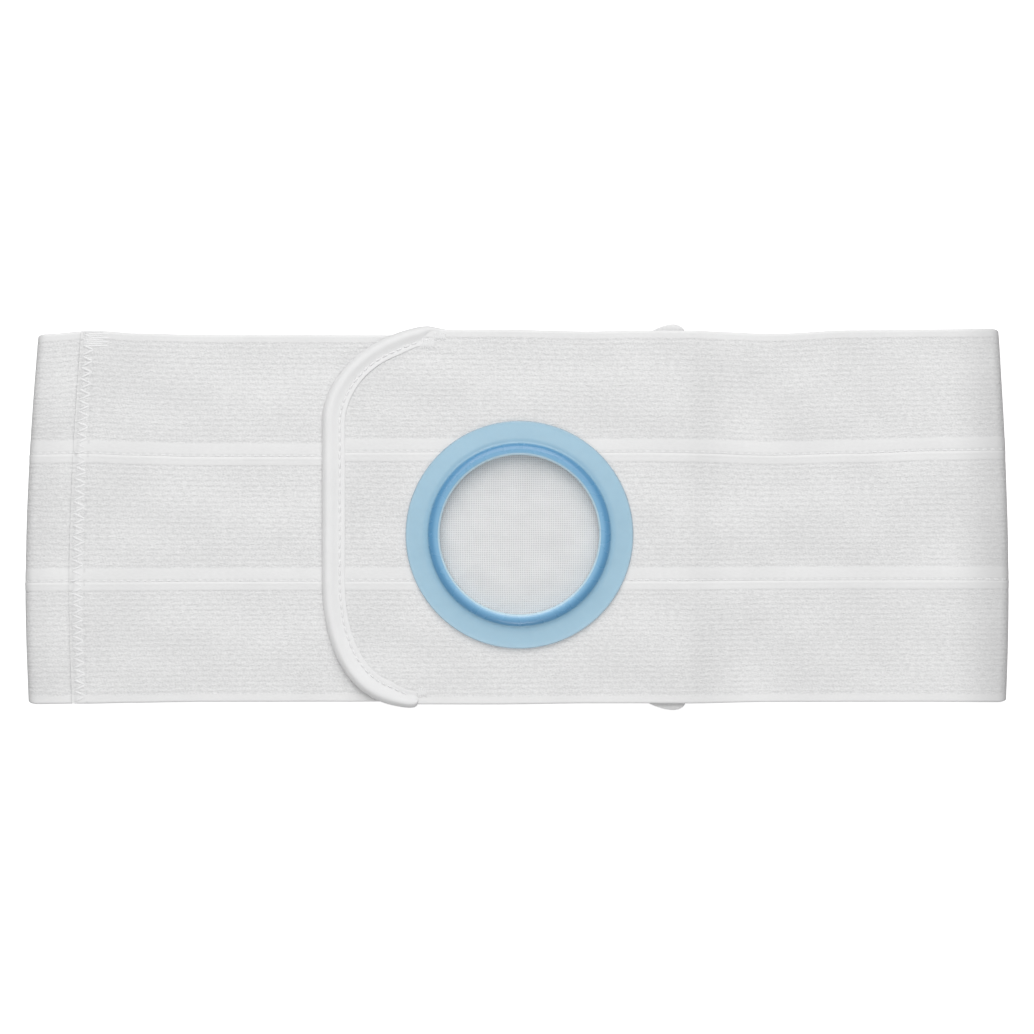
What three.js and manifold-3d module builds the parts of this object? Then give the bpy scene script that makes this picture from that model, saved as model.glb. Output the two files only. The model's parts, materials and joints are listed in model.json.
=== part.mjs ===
// Elastic support belt for an ostomy, closed and laid flat, seen from the front face.
// Millimetres, +Z up: the back of the belt lies on Z = 0, +X runs along the belt to the right,
// +Y runs across it to its top edge, and the origin is below the middle of the belt.
// The belt is one loop: front with the ring, right fold, back, left fold, and the underlap,
// which runs back under the front. The front's bound end is closed over the underlap.
import * as THREE from 'three';
import { mergeVertices } from 'three/addons/utils/BufferGeometryUtils.js';
import Module from 'manifold-3d';

const wasm = await Module();
wasm.setup();

// Elastic: three lengths of webbing side by side, sewn edge to edge
const STRIP_WIDTH = 50.8;
const ELASTIC_THICKNESS = 1.6;
const ELASTIC_EDGE_CHAMFER = 0.35;
const GAP = 0.3; // clearance between two pieces that lie on or beside each other
const LAYER_GAP = 0.4; // air between two lengths of elastic lying on each other
const BELT_WIDTH = 3 * STRIP_WIDTH;

// The flattened loop
const FLAT_LENGTH = 408; // fold to fold, at the widest place
const FOLD_RADIUS_RIGHT = 4.2; // to the outside of the elastic
const FOLD_RADIUS_LEFT = 4.2;
const FOLD_BOW_RIGHT = 4.0; // how far the fold leans in at the belt's top edge
const FOLD_BOW_LEFT = 5.8;
const FOLD_BOW_START = 92; // distance from the middle where the lean begins
const FOLD_BOW_CREST = -0.386; // widest place of the loop, as a share of half the belt width
const FOLD_BOW_POWER = 1.7;
const RIGHT_RISE = 62; // length over which the front rises into the right fold
const LEFT_RISE = 94; // length over which the underlap comes down from the left fold

// Splice at the left, where the underlap is lapped onto the end of the long elastic
const SPLICE_FROM_LEFT = 18.5; // left fold to the underlap's cut end
const SPLICE_LAP = 10.5;
const SPLICE_RAMP = 60; // length over which the underlap comes down off the splice

// Front end of the belt: a flap with rounded corners and a folded binding tape
const FLAP_REACH = 81.9; // ring's centre to the tape's outer edge
const FLAP_CORNER_TOP = { length: 45.2, height: 38.6, fullness: 2.4 };
const FLAP_CORNER_BOTTOM = { length: 37.8, height: 53.0, fullness: 2.2 };
const TAPE_WIDTH = 9.6;
const TAPE_THICKNESS = 1.0;
const TAPE_NOSE_RADIUS = 1.3; // rounding of its folded edge
const TAPE_TAIL_TOP = 7.0; // straight tape past the corner, along the belt's edge
const TAPE_TAIL_BOTTOM = 2.4;

// Belt ring: a flange on the front of the elastic, a rounded bead, and a lip behind
const RING_CENTRE = { x: 1.0, y: -6.7 };
const RING_INNER_RADIUS = 33.0;
const RING_BEAD_WIDTH = 4.8;
const RING_BEAD_HEIGHT = 3.0;
const RING_FLANGE_RADIUS = 47.2;
const RING_FLANGE_THICKNESS = 1.0;
const RING_FLANGE_CHAMFER = 0.3;
const RING_COLLAR_WALL = 1.7;
const RING_LIP_WIDTH = 4.0;
const RING_LIP_THICKNESS = 1.0;

// Square mesh patch on the underlap, seen through the ring
const PATCH_SIDE = 83;
const PATCH_THICKNESS = 1.0;

// Hook strip behind the flap
const HOOK_LENGTH = 76;
const HOOK_THICKNESS = 1.0;
const HOOK_MARGIN = 4; // flap left bare between the hook strip and the tape or the ring's lip

// Bound end of the underlap, under the front
const END_TAPE_WIDTH = 17;
const END_FROM_PATCH = 2.5; // bare elastic between the mesh patch and the rise into the tape
const END_EAR_TOP = 4.6; // how far the folded tape ends stand out past the belt's edges
const END_EAR_BOTTOM = 3.2;
const END_RAMP = 8; // length over which the underlap rises into its tape
const END_TAPE_CHAMFER = 0.25;

// Drape of the front over what lies below it
const FLAP_RISE = 22.5; // length over which the flap rises to the ring's level
const STEP_LENGTH = 30; // length over which the front comes down off the underlap's end

// Half widths of the lying belt, as shares of half its width, at shares of half its length
const FRONT_EDGES = [
  { at: -0.4, top: 1.027, bottom: 1.004 },
  { at: -0.05, top: 1.026, bottom: 1.003 },
  { at: 0.25, top: 1.02, bottom: 0.998 },
  { at: 0.36, top: 1.015, bottom: 0.996 },
  { at: 0.52, top: 1.001, bottom: 0.991 },
  { at: 0.69, top: 1.018, bottom: 0.988 },
  { at: 1.0, top: 1.034, bottom: 0.993 },
];
const UNDERLAP_EDGES = [
  { at: -1.0, top: 1.004, bottom: 1.003 },
  { at: -0.88, top: 1.018, bottom: 1.0 },
  { at: -0.79, top: 1.008, bottom: 0.994 },
  { at: -0.65, top: 0.999, bottom: 0.99 },
  { at: 0.34, top: 0.999, bottom: 0.99 },
];

// Facets
const FOLD_STEPS = 10;
const RAMP_STEPS = 8;
const LONGEST_FACET = 22;
const SHORTEST_FACET = 1;
const CORNER_STEPS = 14;
const RING_SIDES = 72;
const BEAD_STEPS = 8;
const NOSE_STEPS = 3;
const CUT_MARGIN = 5; // how far a cutting solid runs past what it cuts

const FINISHES = {
  elastic: { color: 0xe4e4e4, roughness: 0.9 },
  tape: { color: 0xe9e9e9, roughness: 0.85 },
  mesh: { color: 0xdcdcdd, roughness: 0.9 },
  hook: { color: 0xe0e0e0, roughness: 0.8 },
  ring: { color: 0x7fb2d6, roughness: 0.25 },
};

// Places that follow from the sizes above
const HALF_WIDTH = BELT_WIDTH / 2;
const HALF_LENGTH = FLAT_LENGTH / 2;
const HALF_ELASTIC = ELASTIC_THICKNESS / 2;
const TAPE_SHELL = TAPE_THICKNESS + GAP;
const RIGHT_FOLD_X = HALF_LENGTH - FOLD_RADIUS_RIGHT;
const LEFT_FOLD_X = FOLD_RADIUS_LEFT - HALF_LENGTH;
const SPLICE_START = SPLICE_FROM_LEFT - HALF_LENGTH;
const SPLICE_END = SPLICE_START + SPLICE_LAP;
const TAPE_TIP_X = RING_CENTRE.x - FLAP_REACH;
const FLAP_TIP_X = TAPE_TIP_X + TAPE_SHELL;
const END_TAPE_INNER_X = RING_CENTRE.x + PATCH_SIDE / 2 + END_FROM_PATCH + END_RAMP;
const END_TAPE_X = END_TAPE_INNER_X + END_TAPE_WIDTH;
const UNDERLAP_END = END_TAPE_X - TAPE_SHELL;
const COLLAR_RADIUS = RING_INNER_RADIUS + RING_COLLAR_WALL;
const LIP_RADIUS = COLLAR_RADIUS + RING_LIP_WIDTH;
const RING_HOLE_RADIUS = COLLAR_RADIUS + GAP;

// Heights of the middle of the elastic's thickness
const BACK_LEVEL = HALF_ELASTIC;
const BACK_TOP = ELASTIC_THICKNESS;
const LOW_LEVEL = BACK_TOP + LAYER_GAP + HALF_ELASTIC;
const UNDERLAP_TOP = LOW_LEVEL + HALF_ELASTIC;
const END_LEVEL = BACK_TOP + GAP + TAPE_SHELL + HALF_ELASTIC;
const END_TAPE_TOP = END_LEVEL + HALF_ELASTIC + TAPE_SHELL;
const PATCH_BOTTOM = UNDERLAP_TOP + GAP;
const LIP_BOTTOM = PATCH_BOTTOM + PATCH_THICKNESS + GAP;
const FLAP_LEVEL = UNDERLAP_TOP + GAP + TAPE_SHELL + HALF_ELASTIC;
const FRONT_LEVEL = Math.max(LIP_BOTTOM + RING_LIP_THICKNESS, END_TAPE_TOP) + GAP + HALF_ELASTIC;
const FRONT_TOP = FRONT_LEVEL + HALF_ELASTIC;
const RIGHT_FOLD_LEVEL = 2 * FOLD_RADIUS_RIGHT - HALF_ELASTIC;
const LEFT_FOLD_LEVEL = 2 * FOLD_RADIUS_LEFT - HALF_ELASTIC;

const smooth = (share) => {
  const t = THREE.MathUtils.clamp(share, 0, 1);
  return t * t * (3 - 2 * t);
};

// Height along a run: each row reaches its level at `to`, on a smooth ramp that starts at `from`.
function heightAt(x, start, ramps) {
  return ramps.reduce((z, r) => z + (r.level - z) * smooth((x - r.from) / (r.to - r.from)), start);
}

const RING_LEFT = RING_CENTRE.x - LIP_RADIUS;
const FRONT_RAMPS = [
  { from: RING_LEFT - FLAP_RISE, to: RING_LEFT, level: FRONT_LEVEL },
  { from: END_TAPE_X, to: END_TAPE_X + STEP_LENGTH, level: LOW_LEVEL },
  { from: RIGHT_FOLD_X - RIGHT_RISE, to: RIGHT_FOLD_X, level: RIGHT_FOLD_LEVEL },
];
const RETURN_RAMPS = [{ from: LEFT_FOLD_X, to: LEFT_FOLD_X + LEFT_RISE, level: LOW_LEVEL }];
const END_RAMPS = [
  { from: END_TAPE_INNER_X - END_RAMP, to: END_TAPE_INNER_X, level: END_LEVEL },
];

const frontHeight = (x) => heightAt(x, FLAP_LEVEL, FRONT_RAMPS);
const returnHeight = (x) => heightAt(x, LEFT_FOLD_LEVEL, RETURN_RAMPS);
const spliceLift = (x) => (ELASTIC_THICKNESS + GAP) * (1 - smooth((x - SPLICE_END) / SPLICE_RAMP));
const underlapHeight = (x) => heightAt(x, returnHeight(x) + spliceLift(x), END_RAMPS);

// Share of the half width at the belt's top and bottom edge, between the rows of a table.
function edgesAt(x, rows) {
  const at = x / HALF_LENGTH;
  const next = rows.findIndex((row) => row.at > at);
  if (next === 0) return rows[0];
  if (next < 0) return rows[rows.length - 1];
  const [a, b] = [rows[next - 1], rows[next]];
  const t = smooth((at - a.at) / (b.at - a.at));
  return {
    top: THREE.MathUtils.lerp(a.top, b.top, t),
    bottom: THREE.MathUtils.lerp(a.bottom, b.bottom, t),
  };
}

const frontEdges = (x) => edgesAt(x, FRONT_EDGES);
const underlapEdges = (x) => edgesAt(x, UNDERLAP_EDGES);

// The back's edges change evenly from the underlap's at the left fold to the front's at the right.
function backEdges(x) {
  const [left, right] = [underlapEdges(LEFT_FOLD_X), frontEdges(RIGHT_FOLD_X)];
  const t = smooth((x - LEFT_FOLD_X) / (RIGHT_FOLD_X - LEFT_FOLD_X));
  return {
    top: THREE.MathUtils.lerp(left.top, right.top, t),
    bottom: THREE.MathUtils.lerp(left.bottom, right.bottom, t),
  };
}

// The folds lean in towards the belt's top edge, which moves the elastic near them along X.
function bowAt(x, y) {
  const across = (y / HALF_WIDTH - FOLD_BOW_CREST) / (1 - FOLD_BOW_CREST);
  const along = smooth((Math.abs(x) - FOLD_BOW_START) / (HALF_LENGTH - FOLD_BOW_START));
  const lean = x > 0 ? -FOLD_BOW_RIGHT : FOLD_BOW_LEFT;
  return lean * Math.abs(across) ** FOLD_BOW_POWER * along;
}

// A station is one cross-section of the elastic: its place, its outward normal and its edges.
function runStations(xs, height, edges) {
  const step = 0.01;
  return xs.map((x) => {
    const slope = (height(x + step) - height(x - step)) / (2 * step);
    const length = Math.hypot(slope, 1);
    return { x, z: height(x), nx: -slope / length, nz: 1 / length, edges: edges(x) };
  });
}

// Those of the places that lie well inside a run.
function placesInside(places, start, end) {
  return places.filter((x) => x > start + SHORTEST_FACET && x < end - SHORTEST_FACET);
}

// Stops along a run: even facets between the ramps and finer ones on them.
function runStops(start, end, ramps) {
  const marks = ramps.flatMap(({ from, to }) =>
    Array.from({ length: RAMP_STEPS + 1 }, (_, i) => from + ((to - from) * i) / RAMP_STEPS),
  );
  const inside = placesInside(marks, start, end).sort((a, b) => a - b);
  const stops = [start];
  for (const x of [...inside, end]) {
    const last = stops[stops.length - 1];
    const pieces = Math.ceil((x - last) / LONGEST_FACET);
    for (let i = 1; i <= pieces; i++) stops.push(last + ((x - last) * i) / pieces);
  }
  return stops;
}

// Half a turn of elastic round a fold, from angle `from`, turning clockwise.
function foldStations(centreX, radius, from, edges) {
  const stations = [];
  for (let i = 1; i < FOLD_STEPS; i++) {
    const angle = from - (Math.PI * i) / FOLD_STEPS;
    const [nx, nz] = [Math.cos(angle), Math.sin(angle)];
    const middle = radius - HALF_ELASTIC;
    stations.push({ x: centreX + nx * middle, z: radius + nz * middle, nx, nz, edges });
  }
  return stations;
}

const frontStops = runStops(FLAP_TIP_X, RIGHT_FOLD_X, FRONT_RAMPS);
const backStops = runStops(LEFT_FOLD_X, RIGHT_FOLD_X, []).reverse();
const returnStops = runStops(LEFT_FOLD_X, SPLICE_END, RETURN_RAMPS);
const spliceRamp = { from: SPLICE_END, to: SPLICE_END + SPLICE_RAMP };
const underlapStops = runStops(SPLICE_START, UNDERLAP_END, [spliceRamp, ...END_RAMPS]);

// The long elastic: front from x = `start`, right fold, back, left fold and the splice.
function longStations(start) {
  const front = [start, ...placesInside(frontStops, start, RIGHT_FOLD_X), RIGHT_FOLD_X];
  const back = backStops.map((x) => ({ x, z: BACK_LEVEL, nx: 0, nz: -1, edges: backEdges(x) }));
  return [
    ...runStations(front, frontHeight, frontEdges),
    ...foldStations(RIGHT_FOLD_X, FOLD_RADIUS_RIGHT, Math.PI / 2, frontEdges(RIGHT_FOLD_X)),
    ...back,
    ...foldStations(LEFT_FOLD_X, FOLD_RADIUS_LEFT, -Math.PI / 2, underlapEdges(LEFT_FOLD_X)),
    ...runStations(returnStops, returnHeight, underlapEdges),
  ];
}

// Cross-section of one strip: Y across the belt, and the distance from the middle of its thickness.
function stripSection(low, high) {
  const [h, c] = [HALF_ELASTIC, ELASTIC_EDGE_CHAMFER];
  const middle = (low + high) / 2;
  return new THREE.Shape([
    new THREE.Vector2(low, -h + c),
    new THREE.Vector2(low + c, -h),
    new THREE.Vector2(middle, -h),
    new THREE.Vector2(high - c, -h),
    new THREE.Vector2(high, -h + c),
    new THREE.Vector2(high, h - c),
    new THREE.Vector2(high - c, h),
    new THREE.Vector2(middle, h),
    new THREE.Vector2(low + c, h),
    new THREE.Vector2(low, h - c),
  ]);
}

// Moves every vertex of a geometry to the place that `place(x, y, z)` gives.
function mapVertices(geometry, place) {
  const position = geometry.getAttribute('position');
  for (let i = 0; i < position.count; i++) {
    position.setXYZ(i, ...place(position.getX(i), position.getY(i), position.getZ(i)));
  }
  return geometry;
}

// Elastic of a section, laid along stations: the extrusion's depth counts the stations.
function layElastic(section, stations) {
  const steps = stations.length - 1;
  const straight = new THREE.ExtrudeGeometry(section, { depth: steps, steps, bevelEnabled: false });
  return mapVertices(straight, (across, offset, depth) => {
    const { x, z, nx, nz, edges } = stations[Math.round(depth)];
    const y = across * (across > 0 ? edges.top : edges.bottom);
    return [x + nx * offset + bowAt(x, y), y, z + nz * offset];
  });
}

// A closed geometry as a solid that can be cut or joined.
function solidOf(geometry) {
  const bare = new THREE.BufferGeometry();
  bare.setAttribute('position', geometry.getAttribute('position').clone());
  if (geometry.index) bare.setIndex(geometry.index.clone());
  const merged = mergeVertices(bare);
  return new wasm.Manifold(
    new wasm.Mesh({
      numProp: 3,
      vertProperties: new Float32Array(merged.getAttribute('position').array),
      triVerts: new Uint32Array(merged.index.array),
    }),
  );
}

function geometryOf(solid) {
  const { vertProperties, triVerts, numProp } = solid.getMesh();
  const points = new Float32Array((vertProperties.length / numProp) * 3);
  for (let i = 0; i < points.length / 3; i++) {
    points.set(vertProperties.subarray(i * numProp, i * numProp + 3), i * 3);
  }
  const geometry = new THREE.BufferGeometry();
  geometry.setAttribute('position', new THREE.BufferAttribute(points, 3));
  geometry.setIndex(new THREE.BufferAttribute(triVerts, 1));
  geometry.computeVertexNormals();
  return geometry;
}

// One rounded corner of the flap's elastic, as points from the belt's edge to the straight tip.
// `side` is 1 for the top corner and -1 for the bottom one.
function flapCorner(corner, side) {
  const [a, b] = [corner.length - TAPE_SHELL, corner.height];
  const edges = frontEdges(FLAP_TIP_X);
  const edgeY = HALF_WIDTH * (side > 0 ? edges.top : edges.bottom);
  const power = 2 / corner.fullness;
  const points = [];
  for (let i = 0; i <= CORNER_STEPS; i++) {
    const angle = (Math.PI / 2) * (i / CORNER_STEPS);
    const x = FLAP_TIP_X + a - a * Math.sin(angle) ** power;
    const y = edgeY - b + b * Math.cos(angle) ** power;
    points.push(new THREE.Vector2(x, side * y));
  }
  return points;
}

const topCorner = flapCorner(FLAP_CORNER_TOP, 1);
const bottomCorner = flapCorner(FLAP_CORNER_BOTTOM, -1);

// A plate of an outline, from height `low` to `high`.
function plate(outline, low, high, bevel = 0) {
  const geometry = new THREE.ExtrudeGeometry(new THREE.Shape(outline), {
    depth: high - low - 2 * bevel,
    bevelEnabled: bevel > 0,
    bevelThickness: bevel,
    bevelSize: bevel,
    bevelOffset: -bevel,
    bevelSegments: 1,
  });
  return geometry.translate(0, 0, low + bevel);
}

// What is cut off the square end of the front: the corner outside the curve.
function cornerCutter(corner, side) {
  const outerX = FLAP_TIP_X - CUT_MARGIN;
  const outerY = side * (HALF_WIDTH + 2 * CUT_MARGIN);
  const first = corner[0];
  const last = corner[corner.length - 1];
  const outline = [
    ...corner,
    new THREE.Vector2(outerX, last.y),
    new THREE.Vector2(outerX, outerY),
    new THREE.Vector2(first.x, outerY),
  ];
  return solidOf(plate(outline, UNDERLAP_TOP + GAP, FRONT_TOP + CUT_MARGIN));
}

function ringHoleCutter() {
  const low = UNDERLAP_TOP + GAP;
  const high = FRONT_TOP + CUT_MARGIN;
  const cylinder = new THREE.CylinderGeometry(RING_HOLE_RADIUS, RING_HOLE_RADIUS, high - low, RING_SIDES);
  cylinder.rotateX(Math.PI / 2);
  return solidOf(cylinder.translate(RING_CENTRE.x, RING_CENTRE.y, (low + high) / 2));
}

const flapCutters = [cornerCutter(topCorner, 1), cornerCutter(bottomCorner, -1), ringHoleCutter()];

// The three strips of the belt, from the bottom edge to the top.
const STRIPS = [
  { name: 'bottom', low: -HALF_WIDTH, high: STRIP_WIDTH - HALF_WIDTH - GAP / 2 },
  { name: 'middle', low: (GAP - STRIP_WIDTH) / 2, high: (STRIP_WIDTH - GAP) / 2 },
  { name: 'top', low: HALF_WIDTH - STRIP_WIDTH + GAP / 2, high: HALF_WIDTH },
];

function material(kind) {
  return new THREE.MeshStandardMaterial({ metalness: 0, ...FINISHES[kind] });
}

function piece(name, geometry, kind) {
  const mesh = new THREE.Mesh(geometry, material(kind));
  mesh.name = name;
  return mesh;
}

function cutFlap(geometry) {
  return geometryOf(flapCutters.reduce((solid, cutter) => solid.subtract(cutter), solidOf(geometry)));
}

// The long elastic of each strip. The ring parts the middle one, which then starts at the ring.
function longElastics() {
  return STRIPS.map(({ name, low, high }) => {
    const start = name === 'middle' ? RING_CENTRE.x + GAP / 2 : FLAP_TIP_X;
    const laid = layElastic(stripSection(low, high), longStations(start));
    return piece(`elastic_${name}`, cutFlap(laid), 'elastic');
  });
}

// The middle strip between the ring and the flap's tip.
function flapMiddle() {
  const { low, high } = STRIPS.find(({ name }) => name === 'middle');
  const end = RING_CENTRE.x - GAP / 2;
  const stops = [FLAP_TIP_X, ...placesInside(frontStops, FLAP_TIP_X, end), end];
  const laid = layElastic(stripSection(low, high), runStations(stops, frontHeight, frontEdges));
  return piece('flap_elastic_middle', cutFlap(laid), 'elastic');
}

function underlapElastics() {
  const stations = runStations(underlapStops, underlapHeight, underlapEdges);
  return STRIPS.map(({ name, low, high }) => {
    const laid = layElastic(stripSection(low, high), stations);
    return piece(`underlap_${name}`, laid, 'elastic');
  });
}

// Walk round the flap's edge from the bottom tail to the top one, with outward directions.
function tapeWalk() {
  const tail = (corner, length) => new THREE.Vector2(corner[0].x + length, corner[0].y);
  const points = [
    tail(bottomCorner, TAPE_TAIL_BOTTOM),
    ...bottomCorner,
    ...[...topCorner].reverse(),
    tail(topCorner, TAPE_TAIL_TOP),
  ];
  return points.map((point, i) => {
    const before = points[Math.max(i - 1, 0)];
    const after = points[Math.min(i + 1, points.length - 1)];
    const along = after.clone().sub(before).normalize();
    return { point, outX: -along.y, outY: along.x };
  });
}

// Cross-section of a tape folded round an edge: distance outwards, and height from the middle.
function foldedTapeSection() {
  const slot = HALF_ELASTIC + GAP;
  const shell = slot + TAPE_THICKNESS;
  const inner = TAPE_SHELL - TAPE_WIDTH;
  const nose = TAPE_SHELL - TAPE_NOSE_RADIUS;
  const section = new THREE.Shape();
  section.moveTo(inner, -slot);
  section.lineTo(inner, -shell);
  section.absarc(nose, TAPE_NOSE_RADIUS - shell, TAPE_NOSE_RADIUS, -Math.PI / 2, 0);
  section.absarc(nose, shell - TAPE_NOSE_RADIUS, TAPE_NOSE_RADIUS, 0, Math.PI / 2);
  section.lineTo(inner, shell);
  section.lineTo(inner, slot);
  section.lineTo(GAP, slot);
  section.lineTo(GAP, -slot);
  return section;
}

function flapBinding() {
  const walk = tapeWalk();
  const steps = walk.length - 1;
  const extrusion = { depth: steps, steps, bevelEnabled: false, curveSegments: NOSE_STEPS };
  const straight = new THREE.ExtrudeGeometry(foldedTapeSection(), extrusion);
  const laid = mapVertices(straight, (outward, offset, depth) => {
    const { point, outX, outY } = walk[Math.round(depth)];
    const x = point.x + outX * outward;
    return [x, point.y + outY * outward, frontHeight(x) + offset];
  });
  return piece('flap_binding', laid, 'tape');
}

// Outline of the underlap's end tape: a straight tape with a rounded ear past each belt edge.
function endTapeOutline() {
  const edges = underlapEdges(END_TAPE_X);
  const centre = (END_TAPE_INNER_X + END_TAPE_X) / 2;
  const ends = [
    { side: 1, edge: HALF_WIDTH * edges.top, ear: END_EAR_TOP },
    { side: -1, edge: HALF_WIDTH * edges.bottom, ear: END_EAR_BOTTOM },
  ];
  return ends.flatMap(({ side, edge, ear }) =>
    Array.from({ length: CORNER_STEPS + 1 }, (_, i) => {
      const angle = (Math.PI * i) / CORNER_STEPS;
      const x = centre + (side * END_TAPE_WIDTH * Math.cos(angle)) / 2;
      return new THREE.Vector2(x, side * (edge + ear * Math.sin(angle)));
    }),
  );
}

function underlapBinding() {
  const low = END_LEVEL - HALF_ELASTIC - TAPE_SHELL;
  const body = solidOf(plate(endTapeOutline(), low, END_TAPE_TOP, END_TAPE_CHAMFER));
  const slotHeight = ELASTIC_THICKNESS + 2 * GAP;
  const slotLength = END_TAPE_WIDTH - TAPE_THICKNESS + CUT_MARGIN;
  const { top, bottom } = underlapEdges(END_TAPE_X);
  const slotWidth = BELT_WIDTH * Math.max(top, bottom) + 2 * GAP;
  const slot = new THREE.BoxGeometry(slotLength, slotWidth, slotHeight);
  slot.translate(END_TAPE_X - TAPE_THICKNESS - slotLength / 2, 0, END_LEVEL);
  return piece('underlap_binding', geometryOf(body.subtract(solidOf(slot))), 'tape');
}

// The ring's half section, radius and height, round its axis.
function ringProfile() {
  const flangeBottom = FRONT_TOP + GAP;
  const flangeTop = flangeBottom + RING_FLANGE_THICKNESS;
  const lipBottom = FRONT_LEVEL - HALF_ELASTIC - GAP - RING_LIP_THICKNESS;
  const chamfer = RING_FLANGE_CHAMFER;
  const bead = RING_BEAD_WIDTH / 2;
  const crest = RING_INNER_RADIUS + bead;
  const profile = [
    new THREE.Vector2(RING_INNER_RADIUS, lipBottom),
    new THREE.Vector2(LIP_RADIUS, lipBottom),
    new THREE.Vector2(LIP_RADIUS, lipBottom + RING_LIP_THICKNESS),
    new THREE.Vector2(COLLAR_RADIUS, lipBottom + RING_LIP_THICKNESS),
    new THREE.Vector2(COLLAR_RADIUS, flangeBottom),
    new THREE.Vector2(RING_FLANGE_RADIUS - chamfer, flangeBottom),
    new THREE.Vector2(RING_FLANGE_RADIUS, flangeBottom + chamfer),
    new THREE.Vector2(RING_FLANGE_RADIUS, flangeTop - chamfer),
    new THREE.Vector2(RING_FLANGE_RADIUS - chamfer, flangeTop),
  ];
  for (let i = 0; i <= BEAD_STEPS; i++) {
    const angle = (Math.PI * i) / BEAD_STEPS;
    const height = RING_BEAD_HEIGHT * Math.sin(angle);
    profile.push(new THREE.Vector2(crest + bead * Math.cos(angle), flangeTop + height));
  }
  return [...profile, profile[0].clone()];
}

function beltRing() {
  const geometry = new THREE.LatheGeometry(ringProfile(), RING_SIDES);
  geometry.rotateX(Math.PI / 2).translate(RING_CENTRE.x, RING_CENTRE.y, 0);
  return piece('belt_ring', geometry, 'ring');
}

function meshPatch() {
  const geometry = new THREE.BoxGeometry(PATCH_SIDE, PATCH_SIDE, PATCH_THICKNESS);
  geometry.translate(RING_CENTRE.x, RING_CENTRE.y, PATCH_BOTTOM + PATCH_THICKNESS / 2);
  return piece('mesh_patch', geometry, 'mesh');
}

// The hook strip follows the underside of the flap.
function hookStrip() {
  const left = TAPE_TIP_X + TAPE_WIDTH + HOOK_MARGIN;
  const width = RING_LEFT - HOOK_MARGIN - left;
  const box = new THREE.BoxGeometry(width, HOOK_LENGTH, HOOK_THICKNESS, RAMP_STEPS, 1, 1);
  box.translate(left + width / 2, 0, -HALF_ELASTIC - GAP - HOOK_THICKNESS / 2);
  return piece('hook_strip', mapVertices(box, (x, y, z) => [x, y, frontHeight(x) + z]), 'hook');
}

const belt = new THREE.Group();
belt.add(
  ...longElastics(),
  flapMiddle(),
  ...underlapElastics(),
  flapBinding(),
  underlapBinding(),
  beltRing(),
  meshPatch(),
  hookStrip(),
);

// The ears stand out unequally, so the belt is centred on its own box, and its back rests on Z = 0.
const extent = new THREE.Box3().setFromObject(belt);
const middle = extent.getCenter(new THREE.Vector3());
for (const mesh of belt.children) mesh.geometry.translate(-middle.x, -middle.y, -extent.min.z);

export default belt;
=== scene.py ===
"""Looks of an ostomy support belt that is closed and laid flat.

Metres, in the belt's own frame: +X along the belt, +Y across it to its top edge, +Z up from the surface
that it lies on. The elastic, tapes, stitching, ring and mesh are each built over the solid that stands
for them.
"""
import json
import logging
import math
from collections.abc import Callable, Sequence
from dataclasses import dataclass
from enum import Enum
from typing import Any

import bpy
import numpy as np
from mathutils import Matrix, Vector


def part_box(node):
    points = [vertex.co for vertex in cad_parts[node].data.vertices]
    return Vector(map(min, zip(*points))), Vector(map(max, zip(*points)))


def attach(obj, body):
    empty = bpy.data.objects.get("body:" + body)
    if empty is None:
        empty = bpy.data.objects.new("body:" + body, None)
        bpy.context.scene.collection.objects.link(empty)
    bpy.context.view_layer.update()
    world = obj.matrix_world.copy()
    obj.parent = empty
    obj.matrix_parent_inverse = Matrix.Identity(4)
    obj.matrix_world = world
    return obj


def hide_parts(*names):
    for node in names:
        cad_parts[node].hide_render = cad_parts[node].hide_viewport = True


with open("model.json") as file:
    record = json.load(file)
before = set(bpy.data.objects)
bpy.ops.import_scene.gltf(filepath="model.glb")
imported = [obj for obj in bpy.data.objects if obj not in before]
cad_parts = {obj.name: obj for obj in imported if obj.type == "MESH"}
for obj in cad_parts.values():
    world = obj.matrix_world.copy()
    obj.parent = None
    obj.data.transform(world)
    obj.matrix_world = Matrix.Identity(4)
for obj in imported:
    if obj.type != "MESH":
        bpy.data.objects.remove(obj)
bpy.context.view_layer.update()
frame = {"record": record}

log = logging.getLogger("support_belt")

MM = 0.001
TURN = 2 * math.pi
ROOT = "root"
CLOTH_UV = "cloth"

Array = np.ndarray
Colour = tuple[float, float, float]


# Shader maths


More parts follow.
